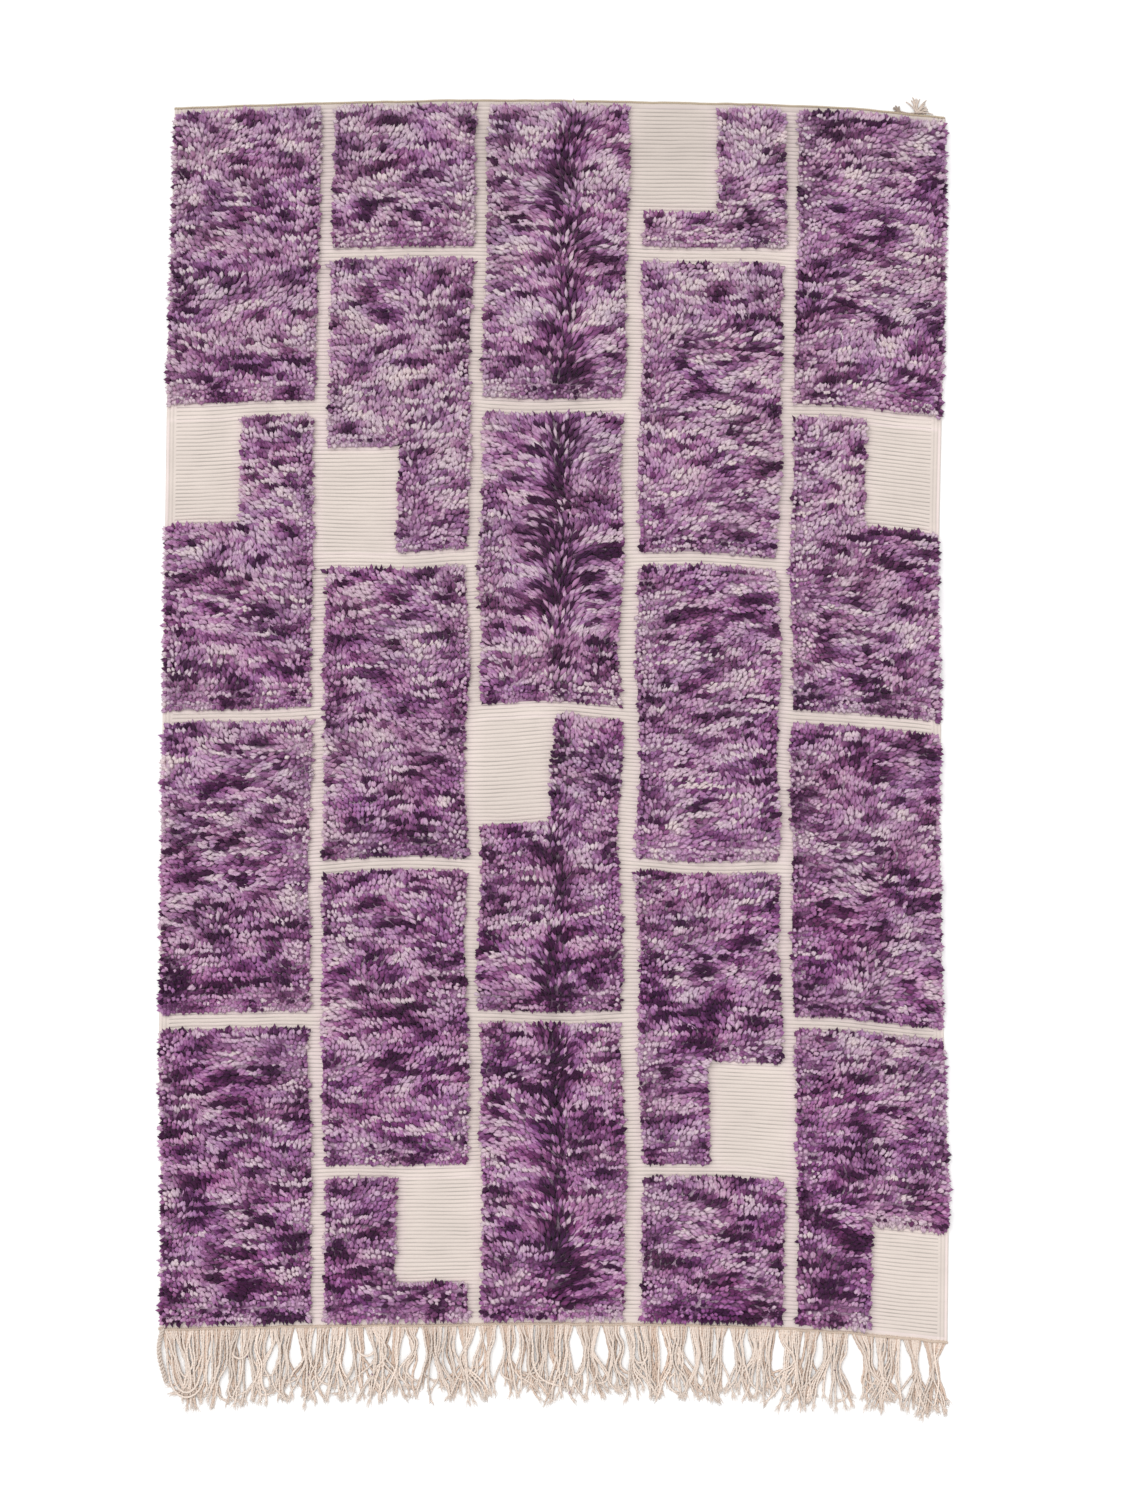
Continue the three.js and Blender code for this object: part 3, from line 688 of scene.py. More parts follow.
def inner_tufts(panel):
    """Cut yarn ends of one panel in their knot rows: paths, radii and tones."""
    rows = np.arange(math.ceil(panel["foot"] / ROW_PITCH), math.floor(panel["head"] / ROW_PITCH) + 1)
    places = np.arange(panel["left"] + TUFT_PITCH / 2, panel["right"], TUFT_PITCH)
    across, row = (part.ravel() for part in np.meshgrid(places, rows))
    dice = panel_dice(panel, "inner_tufts")
    across = across + dice.normal(0, TUFT_SLIP, len(row))
    along = row * ROW_PITCH + dice.normal(0, ROW_SLIP, len(row))
    kept = inside_panel(panel, across, along, INNER_INSET)
    across, along, row = across[kept], along[kept], row[kept]
    count = len(across)
    x, y = lay(across, along)
    lock = np.floor(across / LOCK_WIDTH + LOCK_STEP * row).astype(int) % LOCKS_IN_ROW
    lock = dice.normal(0, 1, (len(rows), LOCKS_IN_ROW, 4))[row - rows[0], lock].T

    from_crease = across - crease_at(along)
    parting = np.tanh(from_crease / LEAN_FADE)
    way = np.radians(90 - np.where(parting > 0, LEAN_RIGHT, LEAN_LEFT) * parting + noise("lean_way", x, y)
                     + LOCK_LEAN * lock[1] + dice.normal(0, TUFT_LEAN, count))
    slope = (SLOPE + noise("lean_slope", x, y)
             + LOCK_SLOPE * lock[2] + dice.normal(0, TUFT_SLOPE, count)).clip(*SLOPE_LIMITS)
    lean_x = slope * np.cos(way)
    lean_y = slope * np.sin(way)
    from_side = np.where(lean_x > 0, across - panel["left"], panel["right"] - across)
    lean_x *= np.clip(from_side / SIDE_CALM[0], SIDE_CALM[1], 1)
    lean_y *= np.clip((along - panel["foot"]) / FOOT_CALM[0], FOOT_CALM[1], 1)
    near = bell(from_crease, PARTING_NEAR[1])
    far = bell(from_crease, PARTING_FAR[1])
    lean_x += np.clip(from_crease / PARTING_TURN, -1, 1) * (PARTING_NEAR[0] * near + PARTING_FAR[0] * far)
    lean_y += PARTING_AHEAD * near
    pull, pull_x, pull_y = rim_pull(panel, across, along)
    lean_x = lean_x * (1 - pull) + RIM_LEAN * pull * pull_x
    lean_y = lean_y * (1 - pull) + pull * np.maximum(pull_y, -dice.uniform(*FOOT_DROOP, count))

    tip = PILE_TOP + CREASE_RISE * bell(from_crease, CREASE_REACH)
    tip = tip + (LOCK_HEIGHT * lock[3] + dice.normal(0, 1, count)) * MM + noise("tip_height", x, y)
    lean = unit(np.stack([lean_x, lean_y, np.ones(count)], axis=1))
    reach = (tip - TUFT_ROOT) / lean[:, 2]
    shown = across + lean[:, 0] * reach
    shown_row = np.round((along + lean[:, 1] * reach) / ROW_PITCH).astype(int)
    tone = row_tones(shown + dice.normal(0, ROW_SLIP, count), shown_row + ROWS_BEFORE, yarn_seed(panel))
    tone += shift_of_tone(x, y, along) + LOCK_TONE * lock[0] + dice.normal(0, TUFT_TONE, count)
    # Painted shade along the fold, which a share of the tufts escapes
    is_light = dice.random(count) < CREASE_LIGHT_SHARE
    fold_shade_factor = np.where(is_light, dice.uniform(*CREASE_LIGHT, count), 1)
    tone -= CREASE_PAINTED_SHADE[0] * bell(from_crease, CREASE_PAINTED_SHADE[1]) * fold_shade_factor + CREASE_SHADE_HALO * near
    root = np.stack([x, y, np.full(count, TUFT_ROOT)], axis=1)
    paths = np.stack([root, root + lean * (reach * TUFT_BELLY)[:, None], root + lean * reach[:, None]],
                     axis=1)
    return paths, TUFT_RADIUS * dice.uniform(*TUFT_RADII, count), tone


# Tufts along the panels' edges. Upper ones lie over the others at a panel's foot, and outer ones are on
# the rug's own sides. Ranges are in millimetres; the two sets are for the foot, other edges, and upper
# ones: how far in the tufts are rooted, and how high their tips are.

RIM_INSETS = ((13, 22), (9, 16), (21, 30))
RIM_TIPS = ((9, 16), (11, 20), (15, 21))
RIM_ROOT = 5 * MM
RIM_RADII = (0.7, 1.1)
RIM_BELLY = (0.62, 1.02)
RIM_SLIP = 2 * MM
RIM_TONE = 0.06
FOOT_PAST = (-2, 3)
HEM_PAST = 6
OTHER_REACHES = (6.5, 13)
UPPER_REACHES = (6, 15)
HEAD_MORE = (3, 11)
OUTER_MORE = (2, 7)
OUTER_SHARE = 0.6
SHORT_SHARE = 0.4
SHORT_LESS = 8 * MM
FOOT_ROWS = 9000
RIM_LOCKS = 400
LOCK_REACHES = (-5, 6)
OUTER_LOCK = 0.5
UPPER_TURN = 0.9
FOOT_TURN = 0.38
OTHER_TURN = 0.16
ROW_TURN = 0.5


def rim_tufts(panel):
    """Yarn ends that lean out over the panel's outline, and hang lower at its foot. Gives the same as
    for the inner ones."""
    dice = panel_dice(panel, "rim_tufts")
    spot, out, edge = rim_places(panel)
    lower = len(spot)
    again = np.flatnonzero(edge == "foot")
    spot, out, edge = (np.concatenate([part, part[again]]) for part in (spot, out, edge))
    count = len(spot)
    is_upper = np.arange(count) >= lower
    is_foot = edge == "foot"
    is_side = edge == "side"
    is_outer = is_side & ((spot[:, 0] < 2 * EDGE_INSET) | (spot[:, 0] > WIDTH - 2 * EDGE_INSET))

    def drawn(limits):
        return dice.uniform(*limits, count) * MM

    def drawn_by_kind(at_foot, at_others, at_upper):
        plain = np.where(is_foot, drawn(at_foot), drawn(at_others))
        return np.where(is_upper, drawn(at_upper), np.where(is_outer, plain * OUTER_SHARE, plain))

    inset = drawn_by_kind(*RIM_INSETS)
    spot = spot - out * inset[:, None]
    x, y = lay(spot[:, 0], spot[:, 1])
    row = np.round(spot[:, 1] / ROW_PITCH)
    yarn_row = np.where(is_side, row, FOOT_ROWS + panel["number"]).astype(int)
    tone = row_tones(spot[:, 0] + dice.normal(0, RIM_SLIP, count), yarn_row, yarn_seed(panel))
    tone += shift_of_tone(x, y, spot[:, 1]) + dice.normal(0, RIM_TONE, count)
    rise = drawn_by_kind(*RIM_TIPS) - RIM_ROOT
    past = dice.uniform(*FOOT_PAST, count) + (HEM_PAST if panel["number"] == 0 else 0)
    flat = np.where(is_foot, inset + past * MM, drawn(OTHER_REACHES))
    flat = np.where(edge == "head", flat + drawn(HEAD_MORE), flat)
    flat = np.where(is_outer, flat + drawn(OUTER_MORE), flat)
    is_short = is_foot & (dice.random(count) < SHORT_SHARE)
    flat = np.where(is_upper, drawn(UPPER_REACHES), np.where(is_short, flat - SHORT_LESS, flat))
    lock = panel_dice(panel, "rim_locks").uniform(*LOCK_REACHES, RIM_LOCKS)
    lock = lock[(row % RIM_LOCKS).astype(int)] * MM
    flat = flat + np.where(is_outer, OUTER_LOCK * lock, np.where(is_side, lock, 0))
    turn = dice.normal(0, np.where(is_upper, UPPER_TURN, np.where(is_foot, FOOT_TURN, OTHER_TURN)))
    in_row = spot[:, 1] / ROW_PITCH - row
    turn = turn - np.where(is_side, ROW_TURN * in_row * np.sign(out[:, 0]), 0)
    way = np.stack([out[:, 0] * np.cos(turn) - out[:, 1] * np.sin(turn),
                    out[:, 0] * np.sin(turn) + out[:, 1] * np.cos(turn)], axis=1)
    root = np.stack([x, y, np.full(count, RIM_ROOT)], axis=1)
    reach, height = RIM_BELLY
    belly = root + np.concatenate([way * (flat * reach)[:, None], (rise * height)[:, None]], axis=1)
    end = root + np.concatenate([way * flat[:, None], rise[:, None]], axis=1)
    return np.stack([root, belly, end], axis=1), TUFT_RADIUS * dice.uniform(*RIM_RADII, count), tone


# Pile

TUFT_SIDES = 4
# Painted light along each tuft at its root, belly and tip: the root is lightened against the shade between
# the tufts, and the tip is dimmed against its highlight
TUFT_PAINTED_LIGHT = [1.9, 1.0, 0.94]
CAST_SPREAD = (0.12, 0.25)
DEPTH_AT_FOOT = 0.25
DEPTH_FALL = 1.1


def column_pile(column):
    """All the tufts of one column of panels, each of one dye, with painted light and shade along it:
    lightened at its root against the shade between the tufts, and dimmed at its tip against the highlight
    it catches.
    """
    made = [make(panel) for panel in PANELS if panel["column"] == column
            for make in (inner_tufts, rim_tufts)]
    paths, radii, tone = (np.concatenate(parts) for parts in zip(*made))
    count = len(paths)
    dice = np.random.default_rng((SEEDS["yarn_spin"], column))
    spin = dice.uniform(0, FULL_TURN, count)
    points, triangles, owner, corners, share = drops(paths, radii, TUFT_SIDES, spin, dice)
    # Painted light and shade from each tuft's root to its tip
    shade = np.interp(share, [0, TUFT_BELLY, 1], TUFT_PAINTED_LIGHT)
    x, y = paths[:, 0, 0], paths[:, 0, 1]
    cast = noise("plum_cast", x, y) + dice.normal(*CAST_SPREAD, count)
    depth = noise("dye_depth", x, y) + DEPTH_AT_FOOT - DEPTH_FALL * y / LENGTH
    colours = dye_of(np.clip(tone, 0, LIGHTEST), cast, depth)[owner] * shade[:, None]
    piece = Piece()
    piece.add(points, triangles, colours, corners)
    return piece.make(f"pile_{column + 1}", pile_material)


for column in range(COLUMNS):
    made = column_pile(column)
    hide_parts("rug")


# Base of the pile

BASE_CELL = 20 * MM
BASE_TOP = 14 * MM
BASE_RIM_TOP = 9 * MM
BASE_FOOT = 3 * MM
BASE_INSET = 4 * MM
# Painted shade on the base: its dye is darkened all over, as the gaps between the tufts lie in shade, and
# darker still along the fold where the pile parts
BASE_PAINTED_SHADE = 0.9
BASE_TONE = 0.8
BASE_FOLD_SHADE = (0.55, 20 * MM)


def split(stops, step):
    """Places from the first stop to the last through all of them, at most a step apart."""
    places = [stops[:1]]
    for first, last in zip(stops[:-1], stops[1:]):
        places.append(np.linspace(first, last, math.ceil((last - first) / step) + 1)[1:])
    return np.concatenate(places)


def base_stops(panel):
    """Places across and along a panel that the grid of its base passes through."""
    across = [panel["left"] + BASE_INSET, panel["right"] - BASE_INSET]
    along = [panel["foot"] + BASE_INSET, panel["head"] - BASE_INSET]
    if panel["block"]:
        inner_x, inner_y = panel["inner"]
        outer_x, outer_y = panel["outer"]
        across.append(inner_x + math.copysign(BASE_INSET, inner_x - outer_x))
        along.append(inner_y + math.copysign(BASE_INSET, inner_y - outer_y))
    return split(sorted(across), BASE_CELL), split(sorted(along), ROW_PITCH)


def add_base(piece, panel):
    """Adds the base of one panel: a grid over all but its block, closed at its rim and below."""
    xs, ys = base_stops(panel)
    grid_x, grid_y = np.meshgrid(xs, ys)
    middle_x, middle_y = np.meshgrid((xs[1:] + xs[:-1]) / 2, (ys[1:] + ys[:-1]) / 2)
    solid = np.ones(middle_x.shape, bool)
    if panel["block"]:
        solid = ~in_block(panel, middle_x, middle_y, BASE_INSET)
    around = np.pad(solid, 1)
    inner = around[:-1, :-1] & around[1:, :-1] & around[:-1, 1:] & around[1:, 1:]
    x, y = lay(grid_x, grid_y)
    top = np.where(inner, BASE_TOP + noise("base_height", x, y), BASE_RIM_TOP)

    number = np.arange(grid_x.size).reshape(grid_x.shape)
    rows, columns = np.nonzero(solid)
    a, b = number[rows, columns], number[rows, columns + 1]
    c, d = number[rows + 1, columns + 1], number[rows + 1, columns]
    used = np.unique(np.concatenate([a, b, c, d]))
    renumber = np.zeros(grid_x.size, int)
    renumber[used] = np.arange(len(used))
    faces = renumber[halved(a, b, c, d)]
    onward = {}
    for row_step, column_step, first, last in ((-1, 0, a, b), (0, 1, b, c), (1, 0, c, d), (0, -1, d, a)):
        bare = ~around[rows + 1 + row_step, columns + 1 + column_step]
        onward.update(zip(renumber[first[bare]].tolist(), renumber[last[bare]].tolist()))
    loop = [next(iter(onward))]
    while onward[loop[-1]] != loop[0]:
        loop.append(onward[loop[-1]])
    loop = np.array(loop)

    points = np.stack([x, y, top], -1).reshape(-1, 3)[used]
    x, y, across, along = (part.ravel()[used] for part in (x, y, grid_x, grid_y))
    tone = row_tones(across, np.round(along / ROW_PITCH).astype(int), yarn_seed(panel))
    tone = np.clip(tone + shift_of_tone(x, y, along), 0, BASE_TONE)
    # Painted shade of the base, all over and along the fold
    fold_shade = BASE_FOLD_SHADE[0] * bell(across - crease_at(along), BASE_FOLD_SHADE[1])
    colours = dye_of(tone) * (BASE_PAINTED_SHADE * (1 - fold_shade))[:, None]
    walls, base = closed_underside(points, loop, BASE_FOOT)
    points = np.concatenate([points, base])
    triangles = np.concatenate([faces, walls])
    colours = np.concatenate([colours, colours[loop]])
    piece.add(points, triangles, colours, flat_map(points, triangles, len(faces)))


def pile_base():
    """Dense lower part of the pile, which closes the view between the yarn ends."""
    piece = Piece()
    for panel in PANELS:
        add_base(piece, panel)
    return piece.make("pile_base", base_material)


base = pile_base()
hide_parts("rug")


# Ground

IVORY = linear("d9cdc5")
UNDERSIDE = linear("cfc2b4")
LINT_TINT = linear("b58cb9")
RIB_PITCH = 8 * MM
RIB_ROWS = [0.0, 0.2, 0.8]
RIB_CRESTS = [0.0, 1.0, 1.0]
RIB_DEPTH = 1.5 * MM
RIB_CALM = 40 * MM
BAND_CORDS = 3
BAND_CORD = 7.3 * MM
STEPS_IN_CORD = 3
GROUND_COLUMNS = 66
PLAIN_HEM = 1.6 * FOOT_HEM
PLAIN_HEIGHT = 0.75

# Painted shade in the grooves between the weft ribs and between the selvedge cords: how dark the colour is
# at the bottom of a groove
GROOVE_PAINTED_SHADE = 0.63
BAND_PAINTED_SHADE = 0.84
LINT_SHARE = 0.12
LINT_REACH = 5 * MM
# Painted light on the weave near the pile, lifting it where the pile's shade falls; away from the pile the
# weave keeps its own tone
OPEN_TONE = 0.96
RIM_PAINTED_LIGHT = (0.2, 16 * MM)
# Painted shade towards the head, where the light falls off
HEAD_PAINTED_SHADE = 0.12
HEAD_SHADE_FROM = LENGTH - 300 * MM
HEAD_SHADE_RUN = 200 * MM


def rim_distance(across, along):
    """Distance of points outside the pile to the nearest panel's plain rectangle."""
    nearest = np.full(np.shape(across), 1.0)
    for panel in PANELS:
        away = distance_outside(panel, across, along)
        if panel["block"]:
            inner_x, inner_y = panel["inner"]
            to_pile = np.minimum(np.abs(across - inner_x), np.abs(along - inner_y))
            away = np.where(in_block(panel, across, along), to_pile, away)
        nearest = np.minimum(nearest, away)
    return nearest


def ground_colours(x, y, across, along, height, is_band):
    """Ivory weft, with painted shade in its grooves and towards the head, painted light near the pile, and
    violet lint beside the pile.
    """
    # Painted shade in the grooves, fading to none at the crests
    line = GROOVE_PAINTED_SHADE + noise("groove_shade_depth", x, y) + noise("groove_shade_waver", x, y)
    line = np.where(is_band, BAND_PAINTED_SHADE, line)
    shade = line + (1 - line) * height
    patchy = 1 + noise("ground_patches", x, y) + noise("weft_tone", x, y)
    to_rim = rim_distance(across, along)
    lint = LINT_SHARE * np.exp(-to_rim / LINT_REACH)
    tint = 1 - lint[..., None] * (1 - LINT_TINT / IVORY)
    # Painted light near the pile
    rim_painted_light = OPEN_TONE + RIM_PAINTED_LIGHT[0] * np.exp(-to_rim / RIM_PAINTED_LIGHT[1])
    # Painted shade towards the head
    head_shade = 1 - HEAD_PAINTED_SHADE * ramp(along, HEAD_SHADE_FROM, HEAD_SHADE_RUN)
    return (IVORY * tint * (shade * patchy * rim_painted_light * head_shade)[..., None]).reshape(-1, 3)


def ground_sheet():
    """The flat weave: weft ribs across it and cords along its two selvedges, as a closed sheet."""
    ribs = round(LENGTH / RIB_PITCH)
    stops = np.append((np.arange(ribs)[:, None] + RIB_ROWS).ravel() * RIB_PITCH, LENGTH)
    crest = np.append(np.tile(RIB_CRESTS, ribs), 0.0)
    band_steps = BAND_CORDS * STEPS_IN_CORD
    band = np.arange(band_steps) * BAND_CORD / STEPS_IN_CORD
    band_width = band_steps * BAND_CORD / STEPS_IN_CORD
    middle = np.linspace(band_width, WIDTH - band_width, GROUND_COLUMNS)
    across, along = np.meshgrid(np.concatenate([band, middle, WIDTH - band[::-1]]), stops)
    edge = np.minimum(across, WIDTH - across)
    is_band = edge < (band_steps - 0.5) * BAND_CORD / STEPS_IN_CORD
    is_plain = (along < PLAIN_HEM) | (along > LENGTH - HEAD_WEB)
    height = np.where(is_plain, PLAIN_HEIGHT, crest[:, None])
    height = np.where(is_band, np.abs(np.sin(np.pi * edge / BAND_CORD)), height)
    calm = ramp(along, 0, RIB_CALM) * ramp(along, LENGTH, -RIB_CALM)
    wave = noise("rib_bow", across, along) + noise("rib_waver", across, along)
    x, y = lay(across, along + wave * calm)
    top = np.stack([x, y, GROUND_THICKNESS - RIB_DEPTH * (1 - height)], axis=-1).reshape(-1, 3)

    index = np.arange(across.size).reshape(across.shape)
    a, b, c, d = (part.ravel() for part in (index[:-1, :-1], index[:-1, 1:], index[1:, 1:], index[1:, :-1]))
    loop = np.concatenate([index[0, :-1], index[:-1, -1], index[-1, :0:-1], index[:0:-1, 0]])
    walls, base = closed_underside(top, loop, 0)
    triangles = np.concatenate([halved(a, b, c, d), walls])
    points = np.concatenate([top, base])
    colours = ground_colours(x, y, across, along, height, is_band)
    colours = np.concatenate([colours, np.tile(UNDERSIDE, (len(base), 1))])
    piece = Piece()
    piece.add(points, triangles, colours, flat_map(points, triangles, 2 * len(a)))
    return piece.make("ground", ground_material)


ground = ground_sheet()
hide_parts("rug")


# Plied cords

COTTON = linear("e8d8cc")
PLY_SECTION = [1.0, 0.92, 1.0, 0.92]
# Painted shade in the groove between the two plies, at the narrow sides of the section
PLY_PAINTED_SHADE = [1.0, 0.96, 1.0, 0.96]


def add_plied(piece, paths, radii, colour, twist, dice):
    """Adds two-ply cords along paths, as turning oval sections, with painted shade in the groove of the
    twist.
    """
    count, stops = paths.shape[:2]
    lengths = np.linalg.norm(np.diff(paths, axis=1), axis=2).cumsum(axis=1)
    lengths = np.concatenate([np.zeros((count, 1)), lengths[:, :-1]], axis=1)
    turn = lengths / twist * np.pi + dice.uniform(0, np.pi, count)[:, None]
    points, triangles, owner, corners = yarns(paths, radii, len(PLY_SECTION), turn, PLY_SECTION)
    groove = np.tile(np.append(np.tile(PLY_PAINTED_SHADE, stops - 1), 1.0), count)
    piece.add(points, triangles, colour[owner] * groove[:, None], corners)


def add_cord(piece, path, radius, colour, twist, dice):
    """Adds one plied cord of the same thickness all along."""
    add_plied(piece, path[None], np.full((1, len(path) - 1), radius), colour[None], twist, dice)


# Loose cords of the fringe: the rope at its left end, the loops beside it, and the cords strung from
# clump to clump

ROPE_ACROSS = 7 * MM
ROPE_LENGTH = 112 * MM
ROPE_STEPS = 60
ROPE_LAY = 15 * MM
ROPE_PLY = 2.8 * MM
ROPE_RADIUS = 3.1 * MM
ROPE_BOW = -8 * MM
ROPE_BENDS = 1.3
ROPE_HEIGHT = 5.8 * MM
ROPE_LIFT = 2 * MM
ROPE_FLATTEN = 0.8
ROPE_TONE = 0.8
LOOP_STARTS = [14 * MM, 23 * MM]
LOOP_ENDS = [97 * MM, 88 * MM]
LOOP_DEPTHS = [141 * MM, 131 * MM]
LOOP_HEIGHTS = [10 * MM, 11.5 * MM]
LOOP_STEPS = 56
LOOP_BULGE = 0.13
LOOP_ROUNDING = 0.6
LOOP_ARCHING = 3
LOOP_REST = 3 * MM
STRUNG_CORDS = 3
STRUNG_DEPTHS = (62, 105)
STRUNG_HEIGHT = 9 * MM
STRUNG_SLIP = 6 * MM
STRUNG_TONE = 0.04


def hanging_loops(starts, ends, depths, heights):
    """U-shaped paths that hang from the foot between two places across it."""
    t = 0.5 - 0.5 * np.cos(np.pi * np.linspace(0, 1, LOOP_STEPS + 1))[None]
    across = starts[:, None] * (1 - t) + ends[:, None] * t
    across = across + (starts - ends)[:, None] * LOOP_BULGE * np.sin(FULL_TURN * t)
    x, y = lay(across, np.zeros(across.shape))
    y = y - depths[:, None] * np.sin(np.pi * t) ** LOOP_ROUNDING
    z = LOOP_REST + (heights[:, None] - LOOP_REST) * np.sin(np.pi * t) ** LOOP_ARCHING
    return np.stack([x, y, z], axis=2)


def add_loose_cords(piece, middles, dice):
    """Adds the corded end of the left selvedge, the loops beside it, and the strung cords."""
    t = np.linspace(0, 1, ROPE_STEPS + 1)
    x, y = lay(np.array(ROPE_ACROSS), np.array(0))
    rope = np.stack([x + ROPE_BOW * np.sin(np.pi * t * ROPE_BENDS), y - ROPE_LENGTH * t,
                     ROPE_HEIGHT + ROPE_LIFT * np.sin(np.pi * t)], axis=1)
    for turn in (0, np.pi):
        phase = t * ROPE_LENGTH / ROPE_LAY * 2 * np.pi + turn
        ply = np.stack([ROPE_PLY * np.cos(phase), 0 * t, ROPE_FLATTEN * ROPE_PLY * np.sin(phase)], axis=1)
        add_cord(piece, rope + ply, ROPE_RADIUS, COTTON * ROPE_TONE, CORD_TWIST, dice)
    strung = dice.choice(np.arange(2, CLUMPS - 1), STRUNG_CORDS, replace=False)
    starts = np.concatenate([LOOP_STARTS, middles[strung]])
    ends = np.concatenate([LOOP_ENDS, middles[strung + 1] + dice.normal(0, STRUNG_SLIP, STRUNG_CORDS)])
    depths = np.concatenate([LOOP_DEPTHS, dice.uniform(*STRUNG_DEPTHS, STRUNG_CORDS) * MM])
    heights = np.concatenate([LOOP_HEIGHTS, np.full(STRUNG_CORDS, STRUNG_HEIGHT)])
    paths = hanging_loops(starts, ends, depths, heights)
    tone = dice.normal(1.0, STRUNG_TONE, len(paths))[:, None] * COTTON
    add_plied(piece, paths, np.full((len(paths), LOOP_STEPS), CORD_RADIUS), tone, CORD_TWIST, dice)


# Fringe. Headings are in radians, 0 being down the rug, and ranges of widths and lengths are in
# millimetres or in shares. A start or an end is where a change begins along a cord, and its run.

CLUMPS = 38
CLUMP_WIDTHS = (26, 58)
CLUMP_GAP = 1.5 * MM
CLUMP_LENGTHS = (0.93, 1.06)
CLUMP_SWAY = 0.09
OPENINGS = (8, 38)
LEFT_OPENINGS = (0, 4)
LEFT_END = 250 * MM
BUNDLES_IN_CLUMP = 4
CORD_SPACE = 3.7 * MM
CORD_START = 2.5 * MM
CORD_STEPS = 26
CORD_RADIUS = 2.8 * MM
CORD_RADII = (0.85, 1.08)
CORD_END_RADIUS = 0.8
CORD_TWIST = 24 * MM
CORD_LENGTH = 152 * MM
CORD_LENGTHS = (0.84, 1.08)
CORD_TONE = 0.05
BUNDLE_TONE = 0.04

GATHER_LENGTH = 0.42 * CORD_LENGTH
GATHER_END = (0.5, -0.15)
SPREAD = 0.3
OPENING_SPREAD = 36 * MM
MIXED_SPREAD = 0.1
BUNDLE_SPREAD = 0.14
CORD_SPREAD = 0.06
SPREAD_START = (0.4, 0.25)
BUNDLE_KINK = 0.22
BUNDLE_WAVES = 0.7
LEAST_KINK = 0.02
KINKS = [(0.15, (0.8, 1.8)), (0.13, (2.5, 4.0))]
KINK_START = 5
CURLED_SHARE = 0.12
CURLS = (0.5, 1.7)
CURL_START = (0.72, 0.28)
LEFT_AWAY = 0.22
RIGHT_AWAY = -0.45
AWAY_REACH = 55 * MM

LAYERS = 3
LAYER_LIFT = 3.2 * MM
LAYER_START = (0, 0.3)
LAYER_END = (1.15, -0.5)
LOW_CORD = 0.8 * CORD_RADIUS
ROOT_HEIGHT = 3.2 * MM
ROOT_SHARE = 0.1
# Painted shade on the lowest layer of cords, which lies under the others: a darker, warmer cotton
LOWEST_PAINTED_SHADE = [0.86, 0.79, 0.74]

FRAY_FIBRES = 9
FRAY_LENGTHS = (10, 24)
FRAY_TURN = 0.2
FRAY_BEND = 2
FRAY_BEND_AT = 0.6
FRAY_SPREAD = 1.2
FRAY_RADII = np.array([[0.9, 0.45]]) * MM
FRAY_SINK = (0.7, 0.5)
FRAY_LOW = 0.8 * MM
FRAY_TONE = 0.04
LINT = 14
LINT_LENGTHS = (3, 7)
LINT_BEND = 1.5 * MM
LINT_RADII = np.array([[1.0, 1.2]]) * MM
LINT_HEIGHT = 1.1 * CORD_RADIUS
LINT_FROM_STEP = 6
LINT_TONES = (0.1, 0.6)


def walk(start, heading, length):
    """Paths on the floor from their starts, with a heading at each step."""
    step = length[:, None] / CORD_STEPS
    x = start[:, :1] + np.cumsum(np.sin(heading) * step, axis=1)
    y = start[:, 1:2] - np.cumsum(np.cos(heading) * step, axis=1)
    return np.concatenate([start[:, :1], x], 1), np.concatenate([start[:, 1:2], y], 1)


def add_fray(piece, tips, headings, dice):
    """Adds the loose fibres at the cords' tips."""
    owner = np.repeat(np.arange(len(tips)), FRAY_FIBRES)
    count = len(owner)
    tip = tips[owner]
    angle = headings[owner] + dice.normal(0, FRAY_TURN, count)
    reach = dice.uniform(*FRAY_LENGTHS, count) * MM
    way = flat_ways(angle - np.pi / 2)
    bend = flat_ways(angle)
    bend *= (dice.normal(0, FRAY_BEND, count) * MM)[:, None]
    tip = tip + np.cross(way, [0, 0, 1]) * (dice.normal(0, FRAY_SPREAD, count) * MM)[:, None]
    middle = tip + way * (reach * FRAY_BEND_AT)[:, None] + bend
    paths = np.stack([tip, middle, tip + way * reach[:, None]], axis=1)
    paths[:, 1:, 2] *= FRAY_SINK
    paths[:, :, 2] = np.maximum(paths[:, :, 2], FRAY_LOW)
    points, triangles, owner, corners = yarns(paths, FRAY_RADII, 3)
    tone = dice.normal(1, FRAY_TONE, count)[owner][:, None]
    piece.add(points, triangles, COTTON[None] * tone, corners)


def add_lint(piece, paths, dice):
    """Adds the few bits of dyed lint that lie on the cords."""
    owner = dice.choice(len(paths), LINT, replace=False)
    step = dice.integers(LINT_FROM_STEP, CORD_STEPS - 2, LINT)
    place = paths[owner, step] + [0, 0, LINT_HEIGHT]
    angle = dice.uniform(0, FULL_TURN, LINT)
    way = flat_ways(angle) * (dice.uniform(*LINT_LENGTHS, LINT) * MM)[:, None]
    bend = flat_ways(angle + np.pi / 2) * LINT_BEND
    lint = np.stack([place, place + way * 0.5 + bend, place + way], axis=1)
    points, triangles, owner, corners = yarns(lint, LINT_RADII, 3)
    piece.add(points, triangles, dye_of(dice.uniform(*LINT_TONES, LINT))[owner], corners)


